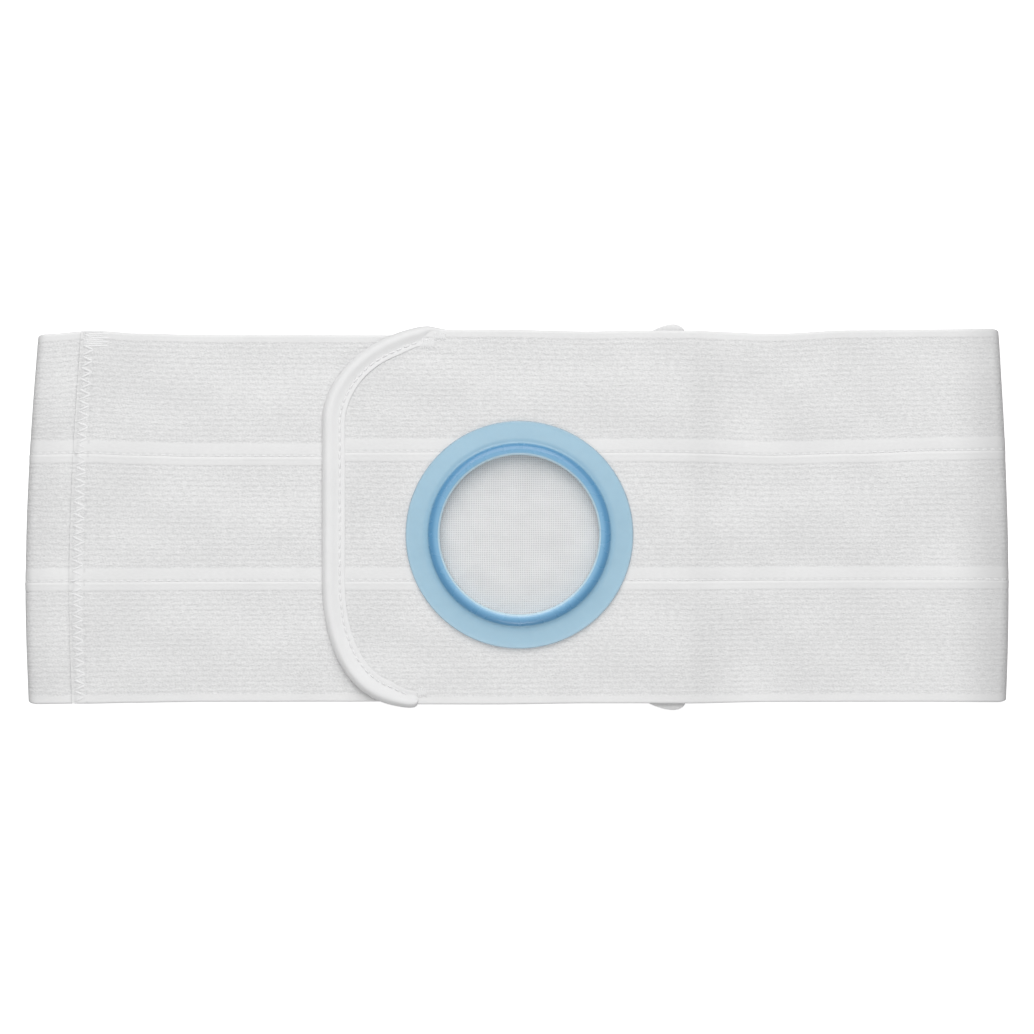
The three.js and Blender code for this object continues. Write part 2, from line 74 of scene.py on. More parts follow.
class Value:
    """A number that varies over a surface: it wraps a socket, and its operators add Math nodes."""

    def __init__(self, nodes: "Nodes", socket: bpy.types.NodeSocket) -> None:
        """Keeps the tree that new nodes go to, and the socket that gives the number."""
        self.nodes = nodes
        self.socket = socket

    def math(self, operation: str, *others: "Value | float", first: float | None = None) -> "Value":
        """Adds a Math node that works on this value.

        Args:
            operation: the Math node's operation.
            others: the values that follow this one.
            first: a plain number that goes before this one, for reflected operators.

        Returns:
            The node's result.
        """
        values = [self, *others] if first is None else [first, self]
        sockets = dict(enumerate(values))
        node = self.nodes.add("ShaderNodeMath", {"operation": operation}, sockets)
        return Value(self.nodes, node.outputs[0])

    def __add__(self, other: "Value | float") -> "Value":
        """This value plus another."""
        return self.math("ADD", other)

    __radd__ = __add__

    def __sub__(self, other: "Value | float") -> "Value":
        """This value less another."""
        return self.math("SUBTRACT", other)

    def __rsub__(self, other: float) -> "Value":
        """A number less this value."""
        return self.math("SUBTRACT", first=other)

    def __mul__(self, other: "Value | float") -> "Value":
        """This value times another."""
        return self.math("MULTIPLY", other)

    __rmul__ = __mul__

    def __truediv__(self, other: "Value | float") -> "Value":
        """This value divided by another."""
        return self.math("DIVIDE", other)

    def wave(self, pitch: float) -> "Value":
        """A cosine of this length, from 0 to 1, that repeats at a pitch."""
        return (self * (TURN / pitch)).math("COSINE") * 0.5 + 0.5

    def ramp(self, start: float, end: float) -> "Value":
        """A smooth step from 0 to 1 while this value goes from start to end.

        Args:
            start: where the step leaves 0.
            end: where it reaches 1; it may lie below start.

        Returns:
            The smooth step.
        """
        node = self.nodes.add(
            "ShaderNodeMapRange",
            {"interpolation_type": "SMOOTHSTEP"},
            {"Value": self, "From Min": start, "From Max": end, "To Min": 0.0, "To Max": 1.0},
        )
        return Value(self.nodes, node.outputs["Result"])


class Nodes:
    """A node tree that nodes are added to."""

    def __init__(self, tree: bpy.types.NodeTree) -> None:
        """Empties the tree and keeps it."""
        self.tree = tree
        self.tree.nodes.clear()

    def add(
        self,
        kind: str,
        settings: dict[str, Any] | None = None,
        sockets: dict[Any, Any] | None = None,
    ) -> bpy.types.Node:
        """Adds a node.

        Args:
            kind: the node's type.
            settings: its own settings, which are set first.
            sockets: the value, Value or socket that each input takes, by name or number.

        Returns:
            The new node.
        """
        node = self.tree.nodes.new(kind)
        for key, value in (settings or {}).items():
            setattr(node, key, value)
        for key, value in (sockets or {}).items():
            self.plug(node.inputs[key], value)
        return node

    def plug(self, target: bpy.types.NodeSocket, value: Any) -> None:
        """Gives an input a link, or a constant.

        Args:
            target: the input.
            value: a Value, an output socket, or a constant.
        """
        if isinstance(value, Value):
            self.tree.links.new(value.socket, target)
        elif isinstance(value, bpy.types.NodeSocket):
            self.tree.links.new(value, target)
        elif isinstance(value, tuple) and len(value) == 3 and target.type == "RGBA":
            target.default_value = (*value, 1.0)
        else:
            target.default_value = value

    def axes(self, vector: bpy.types.NodeSocket) -> tuple[Value, Value, Value]:
        """The three numbers of a vector."""
        split = self.add("ShaderNodeSeparateXYZ", {}, {0: vector})
        x, y, z = (Value(self, output) for output in split.outputs)
        return x, y, z

    def noise(self, x: Value, y: Value, scale: tuple[float, float], detail: float = 2.0) -> Value:
        """Soft noise over two lengths.

        Args:
            x: the first length, in metres.
            y: the second length, in metres.
            scale: the size of the noise along each, in metres.
            detail: how many finer layers it has.

        Returns:
            The noise, about 0.5 at its middle.
        """
        place = self.add("ShaderNodeCombineXYZ", {}, {0: x / scale[0], 1: y / scale[1]})
        node = self.add(
            "ShaderNodeTexNoise",
            {"noise_dimensions": "2D"},
            {"Vector": place.outputs[0], "Scale": 1.0, "Detail": detail},
        )
        return Value(self, node.outputs[0])

    def blend(self, amount: Value, low: Any, high: Any) -> bpy.types.NodeSocket:
        """Mixes two colours.

        Args:
            amount: 0 for the first colour and 1 for the second.
            low: the first colour, as numbers or a socket.
            high: the second colour.

        Returns:
            The mixed colour's socket.
        """
        node = self.add(
            "ShaderNodeMix", {"data_type": "RGBA", "clamp_factor": True}, {0: amount, 6: low, 7: high}
        )
        return node.outputs[2]

    def bump(self, height: Value, depth: float) -> bpy.types.NodeSocket:
        """A normal bent by a height.

        Args:
            height: the height, where 1 stands a depth above 0.
            depth: that depth, in metres.

        Returns:
            The normal's socket.
        """
        node = self.add("ShaderNodeBump", {}, {"Strength": 1.0, "Distance": depth, "Height": height})
        return node.outputs[0]


class Shader(Nodes):
    """A material's node tree, built round one Principled BSDF."""

    def __init__(self, name: str) -> None:
        """Makes an empty material with a Principled BSDF and its output."""
        self.material = bpy.data.materials.new(name)
        self.material.use_nodes = True
        super().__init__(self.material.node_tree)
        self.surface = self.add("ShaderNodeBsdfPrincipled")
        self.add("ShaderNodeOutputMaterial", {}, {"Surface": self.surface.outputs[0]})

    def cloth_place(self) -> tuple[Value, Value]:
        """Place on a cloth piece: metres along it and across it."""
        uv = self.add("ShaderNodeUVMap", {"uv_map": CLOTH_UV})
        return self.axes(uv.outputs[0])[:2]

    def object_place(self) -> tuple[Value, Value, Value]:
        """Place in the belt's frame, in metres."""
        return self.axes(self.add("ShaderNodeTexCoord").outputs["Object"])

    def distance(self, centre: tuple[float, float]) -> Value:
        """Distance from an upright line through a place in the belt's frame."""
        x, y, _ = self.object_place()
        away_x = x - centre[0]
        away_y = y - centre[1]
        return (away_x * away_x + away_y * away_y).math("SQRT")

    def dress(self, **sockets: Any) -> bpy.types.Material:
        """Plugs the Principled BSDF's inputs.

        Args:
            sockets: each input, by its name with _ for a blank, and what it takes.

        Returns:
            The finished material.
        """
        for key, value in sockets.items():
            self.plug(self.surface.inputs[key.replace("_", " ")], value)
        return self.material


# Finishes


@dataclass(frozen=True)
class ElasticFinish:
    """Ribbed elastic webbing: rows of knit along the belt, smooth selvages and the seams' needle holes,
    with painted shade near the folds and a painted highlight along each strip's top edge.
    """

    name: str
    low_band: float
    high_band: float
    width: float
    stitched: bool
    high_line: float = 0.2
    splice: float = 0.0
    crest: Colour = (0.780, 0.780, 0.780)
    # the needle holes' colour, which also serves as the painted shade near the folds
    valley: Colour = (0.620, 0.620, 0.622)
    hole_and_fold_shade: Colour = (0.420, 0.420, 0.424)
    rib_pitch: float = 2.15 * MM
    knit_pitch: float = 1.35 * MM
    rib_depth: float = 0.16 * MM
    stitch_pitch: float = 3.3 * MM
    stitch_line: float = 0.5 * MM
    splice_pitch: float = 4.56 * MM
    # where the painted shade near each fold starts and ends along x
    right_fold_shade: tuple[float, float] = (178 * MM, 206 * MM)
    left_fold_shade: tuple[float, float] = (-186 * MM, -206 * MM)

    def weave(self, shader: Shader, along: Value, across: Value) -> Value:
        """The knit's height: ribs along the belt, each a row of short stitches like laid bricks.

        Args:
            shader: the material's shader.
            along: metres along the strip.
            across: metres across it.

        Returns:
            The height, about 0.5 at its middle.
        """
        drift = shader.noise(along, across, (14 * MM, 5 * MM), 2.0) - 0.5
        rows = across / self.rib_pitch + drift * 0.35
        rib = 1 - rows.wave(1.0)
        cells = along / self.knit_pitch + rows.math("FLOOR") * 0.5 + drift * 1.5
        knit = 1 - cells.wave(1.0)
        grain = shader.noise(along, across, (2.1 * MM, 0.75 * MM), 1.0) - 0.5
        patch = shader.noise(along, across, (18 * MM, 3.2 * MM), 2.0)
        fibre = shader.noise(along, across, (0.8 * MM, 0.45 * MM), 2.0) - 0.5
        ribs = (rib - 0.5) * (0.12 + 0.34 * patch)
        return 0.5 + ribs + (knit - 0.5) * (0.08 + 0.10 * rib) + grain * 1.1 + fibre * 1.1

    def sewing(self, along: Value, across: Value) -> Value | None:
        """Where needles pull the cloth in: the seam's row, and the splice's row if it has one.

        Args:
            along: metres along the strip.
            across: metres across it.

        Returns:
            The pull, from 0 to 1, or None where nothing is sewn.
        """
        pull = None
        if self.stitched:
            line = (across - self.stitch_line).math("ABSOLUTE").ramp(0.9 * MM, 0.1 * MM)
            pull = line * (0.3 + 0.7 * along.wave(self.stitch_pitch).ramp(0.3, 0.9))
        if self.splice:
            line = (along - self.splice).math("ABSOLUTE").ramp(0.65 * MM, 0.1 * MM)
            holes = line * across.wave(self.splice_pitch).ramp(0.42, 0.9) * 1.6
            pull = holes if pull is None else pull.math("MAXIMUM", holes)
        return pull

    def painted_fold_shade(self, shader: Shader) -> Value:
        """Painted shade: how far the elastic is darkened towards the folds, more so at the right one."""
        x, _, _ = shader.object_place()
        right = x.ramp(self.right_fold_shade[0], self.right_fold_shade[1]) * 0.5
        left = x.ramp(self.left_fold_shade[0], self.left_fold_shade[1]) * 0.2
        return right + left

    def material(self) -> bpy.types.Material:
        """Builds the elastic's material."""
        shader = Shader(self.name)
        along, across = shader.cloth_place()
        from_top = self.width - across
        low = across.ramp(self.low_band + 0.5 * MM, self.low_band - 0.4 * MM)
        high = from_top.ramp(self.high_band + 0.5 * MM, self.high_band - 0.4 * MM)
        band = low.math("MAXIMUM", high)
        soft = shader.noise(along, across, (1.8 * MM, 0.8 * MM), 2.0)
        height = self.weave(shader, along, across) * (1 - band) + (0.54 + soft * 0.35) * band
        line = from_top.ramp(self.high_band - 0.2 * MM, self.high_band + 0.4 * MM)
        line = line * from_top.ramp(self.high_band + 1.3 * MM, self.high_band + 0.6 * MM)
        height = height - line * self.high_line
        cloud = shader.noise(along, across, (34 * MM, 21 * MM), 2.0)
        # painted highlight: the tone is raised within about a millimetre of each strip's top edge
        painted_top_highlight = from_top.ramp(1.35 * MM, 0.7 * MM)
        tone = height + (cloud - 0.5) * 0.6 + painted_top_highlight * 0.26
        colour = shader.blend(tone, self.valley, self.crest)
        # painted shade: the elastic is darkened towards the hole colour near both folds
        colour = shader.blend(self.painted_fold_shade(shader), colour, self.hole_and_fold_shade)
        pull = self.sewing(along, across)
        if pull is not None:
            height = height - pull * 0.5
            colour = shader.blend(pull * 0.12, colour, self.hole_and_fold_shade)
        normal = shader.bump(height, self.rib_depth)
        return shader.dress(Base_Color=colour, Roughness=0.92, Normal=normal, Sheen_Weight=0.08)


@dataclass(frozen=True)
class TapeFinish:
    """Smooth woven tape, with a fine twill that runs across it, and close stitches where it is oversewn."""

    name: str
    stitch_pitch: float = 0.0
    light: Colour = (0.790, 0.790, 0.791)
    dark: Colour = (0.705, 0.705, 0.707)
    twill_pitch: float = 0.75 * MM
    depth: float = 0.05 * MM

    def material(self) -> bpy.types.Material:
        """Builds the tape's material."""
        shader = Shader(self.name)
        along, across = shader.cloth_place()
        twill = (along + across).wave(self.twill_pitch)
        fibre = shader.noise(along, across, (0.6 * MM, 0.4 * MM), 3.0)
        cloud = shader.noise(along, across, (12 * MM, 6 * MM), 2.0)
        height = twill * 0.5 + fibre * 0.5
        if self.stitch_pitch:
            height = height + across.wave(self.stitch_pitch) * 0.5
        tone = height * 0.5 + cloud * 0.5
        colour = shader.blend(tone, self.dark, self.light)
        return shader.dress(
            Base_Color=colour, Roughness=0.8, Normal=shader.bump(height, self.depth), Sheen_Weight=0.06
        )


@dataclass(frozen=True)
class ThreadFinish:
    """White sewing thread, twisted from strands."""

    name: str
    light: Colour = (0.82, 0.82, 0.822)
    dark: Colour = (0.70, 0.70, 0.703)
    twist_pitch: float = 0.55 * MM

    def material(self) -> bpy.types.Material:
        """Builds the thread's material."""
        shader = Shader(self.name)
        x, y, z = shader.object_place()
        twist = (x + y * 0.8 + z).wave(self.twist_pitch)
        colour = shader.blend(twist, self.dark, self.light)
        return shader.dress(Base_Color=colour, Roughness=0.6, Normal=shader.bump(twist, 0.04 * MM))


@dataclass(frozen=True)
class MeshFinish:
    """Square open mesh: two sets of fine threads with small dark openings between them, and painted bluish
    shade towards the ring's inner edge.
    """

    name: str
    centre: tuple[float, float]
    thread: Colour = (0.735, 0.736, 0.738)
    opening: Colour = (0.500, 0.503, 0.515)
    ring_shade: Colour = (0.590, 0.660, 0.720)
    ring_shade_start: float = 26 * MM
    ring_shade_end: float = 34 * MM
    pitch: float = 0.92 * MM
    depth: float = 0.12 * MM

    def material(self) -> bpy.types.Material:
        """Builds the mesh's material."""
        shader = Shader(self.name)
        along, across = shader.cloth_place()
        drift = shader.noise(along, across, (7 * MM, 7 * MM), 2.0) - 0.5
        warp = (along + drift * (0.5 * MM)).wave(self.pitch)
        weft = (across + drift * (0.4 * MM)).wave(self.pitch)
        threads = warp.math("MAXIMUM", weft)
        height = threads * 0.8 + warp * weft * 0.2
        cloud = shader.noise(along, across, (11 * MM, 8 * MM), 3.0)
        tone = height.ramp(0.05, 0.95) * 0.8 + cloud * 0.4
        colour = shader.blend(tone, self.opening, self.thread)
        # painted shade: the mesh is blended towards a bluish grey near the ring's inner edge, for the
        # ring's tinted shadow
        ring_shade_mask = shader.distance(self.centre).ramp(self.ring_shade_start, self.ring_shade_end)
        colour = shader.blend(ring_shade_mask * 0.10, colour, self.ring_shade)
        return shader.dress(Base_Color=colour, Roughness=0.85, Normal=shader.bump(height, self.depth))


@dataclass(frozen=True)
class HookFinish:
    """Hook tape: close rows of small stiff hooks."""

    name: str
    light: Colour = (0.66, 0.66, 0.665)
    dark: Colour = (0.34, 0.34, 0.345)
    pitch: float = 1.3 * MM

    def material(self) -> bpy.types.Material:
        """Builds the hook tape's material."""
        shader = Shader(self.name)
        along, across = shader.cloth_place()
        hooks = along.wave(self.pitch) * across.wave(self.pitch)
        colour = shader.blend(hooks.ramp(0.1, 0.7), self.dark, self.light)
        return shader.dress(Base_Color=colour, Roughness=0.55, Normal=shader.bump(hooks, 0.5 * MM))


@dataclass(frozen=True)
class RingFinish:
    """Soft translucent blue plastic, deeper in colour where it is thick, with a painted highlight along the
    opening's rim and painted shade at the flange's outer edge.
    """

    name: str
    centre: tuple[float, float]
    opening: float
    flange_start: float
    flange_end: float
    flange: Colour = (0.425, 0.675, 0.830)
    fillet: Colour = (0.335, 0.610, 0.800)
    # the darker grey of the flange's outer edge, partly the thick edge's own colour and partly painted
    # shade
    rim: Colour = (0.330, 0.480, 0.580)
    bead: Colour = (0.250, 0.512, 0.748)
    foot: Colour = (0.100, 0.310, 0.540)
    # the pale colour of the painted highlight along the opening's rim
    lip: Colour = (0.620, 0.820, 0.920)
    flange_alpha: float = 0.50
    bead_alpha: float = 0.78

    def material(self) -> bpy.types.Material:
        """Builds the ring's material."""
        shader = Shader(self.name)
        x, y, _ = shader.object_place()
        radius = shader.distance(self.centre)
        outside = radius.ramp(self.flange_start - 0.4 * MM, self.flange_start + 0.5 * MM)
        far = radius.ramp(self.flange_start, self.flange_start + 3.2 * MM)
        haze = shader.noise(x, y, (9 * MM, 7 * MM), 3.0)
        flange = shader.blend(far * (0.8 + haze * 0.4), self.fillet, self.flange)
        # the flange's outer edge is darkened towards the rim colour: partly its thick edge, partly painted
        # shade of the shadow along it
        edge = radius.ramp(self.flange_end - 0.75 * MM, self.flange_end - 0.2 * MM)
        flange = shader.blend(edge * 0.8, flange, self.rim)
        low = radius.ramp(self.flange_start - 3.7 * MM, self.flange_start - 1.2 * MM)
        bead = shader.blend(low, self.bead, self.foot)
        # painted highlight: a pale band along the opening's rim, which fades out within about a millimetre
        past_rim_highlight = radius.ramp(self.opening + 0.45 * MM, self.opening + 1.05 * MM)
        bead = shader.blend(past_rim_highlight, self.lip, bead)
        colour = shader.blend(outside, bead, flange)
        alpha = self.bead_alpha + (self.flange_alpha - self.bead_alpha) * outside
        alpha = alpha + (haze - 0.5) * 0.05
        grain = shader.noise(x, y, (2.2 * MM, 2.2 * MM), 2.0)
        return shader.dress(
            Base_Color=colour,
            Roughness=0.20 + far * 0.18 + haze * 0.14,
            Alpha=alpha,
            Normal=shader.bump(haze * 0.8 + grain * 0.1, 0.03 * MM),
            Specular_IOR_Level=0.85,
        )


@dataclass(frozen=True)
class FloorFinish:
    """The pale surface below the belt, which glows a little, as a light table does."""

    name: str
    colour: Colour = (0.90, 0.90, 0.90)
    lighter: Colour = (0.94, 0.94, 0.94)
    glow: float = 0.6
    cloud: float = 0.2

    def material(self) -> bpy.types.Material:
        """Builds the floor's material."""
        shader = Shader(self.name)
        x, y, _ = shader.object_place()
        haze = shader.noise(x, y, (self.cloud, self.cloud))
        colour = shader.blend(haze, self.colour, self.lighter)
        return shader.dress(
            Base_Color=colour, Roughness=0.9, Emission_Color=(1.0, 1.0, 1.0), Emission_Strength=self.glow
        )


# Meshes


def smooth(share: Array | float) -> Array:
    """A smooth step from 0 to 1."""
    t = np.clip(share, 0, 1)
    return t * t * (3 - 2 * t)


def hump(distance: Array | float, width: float) -> Array:
    """A bell of height 1 round a distance of 0."""
    return np.exp(-((np.asarray(distance) / width) ** 2))


def unit(vectors: Array) -> Array:
    """Vectors of length 1."""
    return vectors / np.maximum(np.linalg.norm(vectors, axis=-1, keepdims=True), 1e-12)


def make_object(
    name: str,
    points: Array,
    faces: list[list[int]],
    places: Array | None = None,
    sharp: float = 40.0,
) -> bpy.types.Object:
    """Makes a mesh object.

    Args:
        name: the object's name.
        points: its vertices, one row each.
        faces: its faces, as vertex numbers.
        places: each vertex's place on the cloth, in metres along and across.
        sharp: the angle in degrees above which an edge stays sharp.

    Returns:
        The object, linked to the scene.
    """
    mesh = bpy.data.meshes.new(name)
    mesh.from_pydata(np.asarray(points).reshape(-1, 3).tolist(), [], faces)
    if places is not None:
        layer = mesh.uv_layers.new(name=CLOTH_UV)
        corners = np.empty(len(mesh.loops), dtype=np.int64)
        mesh.loops.foreach_get("vertex_index", corners)
        layer.data.foreach_set("uv", np.asarray(places, dtype=np.float32)[corners].ravel())
    mesh.polygons.foreach_set("use_smooth", [True] * len(mesh.polygons))
    mesh.set_sharp_from_angle(angle=math.radians(sharp))
    mesh.update()
    made = bpy.data.objects.new(name, mesh)
    bpy.context.scene.collection.objects.link(made)
    return made


def loop_faces(rows: int, columns: int, closed: bool) -> Array:
    """Quads of a tube: rows of points, each row a closed loop of columns.

    Args:
        rows: how many rows there are.
        columns: how many points each row has.
        closed: whether the last row joins the first.

    Returns:
        The quads, one row each.
    """
    r = np.arange(rows if closed else rows - 1)[:, None]
    c = np.arange(columns)[None, :]
    a = r * columns + c
    b = r * columns + (c + 1) % columns
    after = ((r + 1) % rows) * columns
    return np.stack([a, b, after + (c + 1) % columns, after + c], axis=-1).reshape(-1, 4)


def end_faces(rows: int, columns: int) -> list[list[int]]:
    """The two faces that close a tube's first and last row."""
    start = (rows - 1) * columns
    return [list(range(columns))[::-1], list(range(start, start + columns))]


def upwards(paths: Array) -> Array:
    """A normal that points up, at each point of many lengths."""
    return np.broadcast_to([0.0, 0.0, 1.0], paths.shape)


@dataclass(frozen=True)
class Thread:
    """Sewing thread of one thickness, laid as many short round lengths."""

    radius: float
    flatness: float
    sides: int = 8

    def sew(self, name: str, paths: Array, ups: Array) -> bpy.types.Object:
        """Makes one mesh of many lengths of thread.

        Args:
            name: the object's name.
            paths: the lengths, as an array of length, point and coordinate.
            ups: the surface's normal at each of those points.

        Returns:
            The object.
        """
        count, steps, _ = paths.shape
        along = unit(np.gradient(paths, axis=1))
        side = unit(np.cross(along, ups))
        up = np.cross(side, along)
        angle = TURN * np.arange(self.sides) / self.sides
        taper = np.ones(steps)
        taper[[0, -1]] = 0.55
        ring = side[:, :, None] * np.cos(angle)[:, None]
        ring = ring + up[:, :, None] * self.flatness * np.sin(angle)[:, None]
        points = paths[:, :, None] + ring * (self.radius * taper)[None, :, None, None]
        tube = loop_faces(steps, self.sides, closed=False)[:, ::-1]
        start = (np.arange(count) * steps * self.sides)[:, None, None]
        quads = (tube[None] + start).reshape(-1, 4).tolist()
        first = np.arange(self.sides)
        last = np.arange(self.sides)[::-1] + (steps - 1) * self.sides
        caps = (np.stack([first, last])[None] + start).reshape(-1, self.sides).tolist()
        return make_object(name, points, quads + caps, sharp=80)


# The lying belt


class Strip(Enum):
    """The three strips of elastic, from the belt's bottom edge to its top."""

    BOTTOM = "bottom"
    MIDDLE = "middle"
    TOP = "top"


@dataclass(frozen=True)
class Ramp:
    """A smooth change of height from start to end, to a level that it nears early on if it is bent."""

    start: float
    end: float
    level: float
    bend: float = 1.0


@dataclass(frozen=True)
class EdgeRow:
    """The belt's edges and seams at one place.

    The place is a share of half the belt's length, the edges are shares of half its width, and the seams
    are how far each stands out from its even place.
    """

    at: float
    top: float
    bottom: float
    upper_seam: float = 0.0
    lower_seam: float = 0.0


class Course:
    """A length of elastic in side view: its middle, its outward side, its edges and its seams."""

    def __init__(self, x: Array, z: Array, nx: Array, nz: Array, *edges: Array) -> None:
        """Keeps the samples, and measures the length along them."""
        self.samples = np.stack([x, z, nx, nz, *edges])
        steps = np.hypot(np.diff(x), np.diff(z))
        self.length = np.concatenate([[0.0], np.cumsum(steps)])

    def at(self, along: Array) -> Array:
        """The samples at lengths along the course: x, z, the normal's x and z, the edges and the seams."""
        return np.stack([np.interp(along, self.length, row) for row in self.samples])

    def joined(self, *others: "Course") -> "Course":
        """This course and those that follow it, as one."""
        rows = np.concatenate([self.samples, *(other.samples for other in others)], axis=1)
        return Course(*rows)

    def trimmed(self, start: float) -> "Course":
        """The course from the first place where its front is past an x."""
        return Course(*self.samples[:, int(np.argmax(self.samples[0] >= start)):])


@dataclass
class Drape:
    """The belt's lying shape, taken from the frame's boxes and a few lengths of the drape."""

    strip_width: float = 50.8 * MM
    elastic: float = 1.6 * MM
    gap: float = 0.3 * MM
    layer_gap: float = 0.4 * MM
    tape: float = 1.0 * MM
    ring_offset: tuple[float, float] = (1.0 * MM, -6.7 * MM)
    bow_right: float = 4.0 * MM
    bow_left: float = 5.3 * MM
    bow_start: float = 92 * MM
    bow_crest: float = -0.386
    bow_power: float = 1.7
    right_rise: float = 62 * MM
    left_rise: float = 94 * MM
    splice_lap: float = 10.5 * MM
    splice_ramp: float = 60 * MM
    flap_rise: float = 22.5 * MM
    step_length: float = 22 * MM
    step_bend: float = 0.7
    end_ramp: float = 8 * MM
    corner_pull: float = 0.6 * MM
    corner_reach: float = 13 * MM
    lifted_corner: tuple[float, float] = (-64 * MM, -71 * MM)
    lifted_size: tuple[float, float] = (19 * MM, 15 * MM)
    lift_height: float = 1.4 * MM
    tack_place: tuple[float, float] = (-34 * MM, 67.6 * MM)
    tack_size: tuple[float, float] = (6.5 * MM, 1.9 * MM)
    tack_depth: float = 0.6 * MM
    ripple_height: float = 0.8 * MM
    calm_radius: float = 50 * MM
    sample: float = 2.4 * MM
    fold_samples: int = 18
    seam_reach: float = 22 * MM
    back_tuck: float = 0.007
    corner_length: float = 46 * MM
    cut_end: float = 3.0 * MM
    front_edges: tuple[EdgeRow, ...] = (
        EdgeRow(-0.4, 1.027, 1.010, 1.3 * MM, 0.4 * MM),
        EdgeRow(-0.05, 1.029, 1.011, 1.4 * MM, 0.4 * MM),
        EdgeRow(0.15, 1.019, 1.005, 1.4 * MM, 0.4 * MM),
        EdgeRow(0.25, 1.023, 1.005, 1.4 * MM, 0.4 * MM),
        EdgeRow(0.36, 1.022, 1.006, 1.2 * MM, 0.4 * MM),
        EdgeRow(0.52, 1.008, 0.999, 0.6 * MM, 0.3 * MM),
        EdgeRow(0.69, 1.0266, 0.998, 0.9 * MM, 0.2 * MM),
        EdgeRow(0.86, 1.030, 0.9965, 1.8 * MM, 0.2 * MM),
        EdgeRow(1.0, 1.033, 0.9985, 2.1 * MM, 0.2 * MM),
    )
    underlap_edges: tuple[EdgeRow, ...] = (
        EdgeRow(-1.0, 1.002, 1.009, 1.1 * MM, 0.9 * MM),
        EdgeRow(-0.88, 1.022, 1.006, 0.9 * MM, 0.8 * MM),
        EdgeRow(-0.79, 1.008, 1.002, 0.6 * MM, 0.9 * MM),
        EdgeRow(-0.65, 1.001, 0.998, 0.2 * MM, 0.8 * MM),
        EdgeRow(0.34, 0.999, 0.996, 0.2 * MM, 0.6 * MM),
    )

    def __post_init__(self) -> None:
        """Reads the frame's boxes, and works out the places and levels that follow from them."""
        names = [entry["node"] for entry in frame["record"]["subparts"]]
        box = {name: tuple(np.array(corner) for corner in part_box(name)) for name in names}
        self.box = box
        ring_low, ring_high = box["belt_ring"]
        self.ring_centre = (ring_low + ring_high)[:2] / 2
        self.shift = self.ring_centre - np.array(self.ring_offset)
        self.half_width = 1.5 * self.strip_width
        long_low, long_high = box["elastic_bottom"]
        self.half_length = (long_high - long_low)[0] / 2
        self.half = self.elastic / 2
        self.fold_radius = long_high[2] / 2
        self.right_fold = self.half_length - self.fold_radius
        self.left_fold = self.fold_radius - self.half_length
        self.shell = self.tape + self.gap
        self.tape_tip = box["flap_binding"][0][0] - self.shift[0]
        self.flap_tip = self.tape_tip + self.shell
        self.end_tape = box["underlap_binding"][1][0] - self.shift[0]
        self.end_tape_inner = box["underlap_binding"][0][0] - self.shift[0]
        self.underlap_end = self.end_tape - self.shell
        self.splice_start = box["underlap_bottom"][0][0] - self.shift[0]
        self.splice_end = self.splice_start + self.splice_lap
        self.low_level = 2 * self.elastic + self.layer_gap - self.half
        self.underlap_top = self.low_level + self.half
        self.end_level = (box["underlap_binding"][0][2] + box["underlap_binding"][1][2]) / 2
        self.flap_level = self.underlap_top + self.gap + self.shell + self.half
        self.front_level = box["flap_elastic_middle"][1][2] - self.half
        self.fold_level = 2 * self.fold_radius - self.half
        self.ring_left = self.shift_free(box["mesh_patch"][0])[0] + 2.8 * MM
        self.front_ramps = (
            Ramp(self.ring_left - self.flap_rise, self.ring_left, self.front_level),
            Ramp(self.end_tape, self.end_tape + self.step_length, self.low_level, self.step_bend),
            Ramp(self.right_fold - self.right_rise, self.right_fold, self.fold_level),
        )

    def shift_free(self, corner: Array) -> Array:
        """A corner of the frame, moved back to where the belt's middle line is y = 0."""
        return np.array([corner[0] - self.shift[0], corner[1] - self.shift[1], corner[2]])

    @staticmethod
    def climb(x: Array, start: Array | float, ramps: Sequence[Ramp]) -> Array:
        """The height along a run.

        Args:
            x: the places.
            start: the height before the first ramp.
            ramps: the ramps, in order.

        Returns:
            The height at each place.
        """
        z = np.zeros_like(x) + start
        for ramp in ramps:
            share = np.clip((x - ramp.start) / (ramp.end - ramp.start), 0, 1)
            z = z + (ramp.level - z) * smooth(share**ramp.bend)
        return z

    def front(self, x: Array) -> Array:
        """Height of the front along x, at the middle of its thickness."""
        return self.climb(x, self.flap_level, self.front_ramps)

    def back_turn(self, x: Array) -> Array:
        """Height of the long elastic past the left fold."""
        turn = Ramp(self.left_fold, self.left_fold + self.left_rise, self.low_level)
        return self.climb(x, self.fold_level, [turn])

    def underlap(self, x: Array) -> Array:
        """Height of the underlap."""
        lift = (self.elastic + self.gap) * (1 - smooth((x - self.splice_end) / self.splice_ramp))
        rise = Ramp(self.end_tape_inner - self.end_ramp, self.end_tape_inner, self.end_level)
        return self.climb(x, self.back_turn(x) + lift, [rise])

    def edges(self, x: Array, rows: Sequence[EdgeRow]) -> Array:
        """The edges and seams along x.

        Args:
            x: the places.
            rows: the table of edges.

        Returns:
            Rows of shares at the top and the bottom edge, and of the upper and the lower seam's shift.
        """
        at = np.clip(x / self.half_length, rows[0].at, rows[-1].at)
        marks = np.array([row.at for row in rows])
        low = np.clip(np.searchsorted(marks, at, side="right") - 1, 0, len(rows) - 2)
        t = smooth((at - marks[low]) / (marks[low + 1] - marks[low]))
        table = np.array([[row.top, row.bottom, row.upper_seam, row.lower_seam] for row in rows]).T
        return table[:, low] + (table[:, low + 1] - table[:, low]) * t

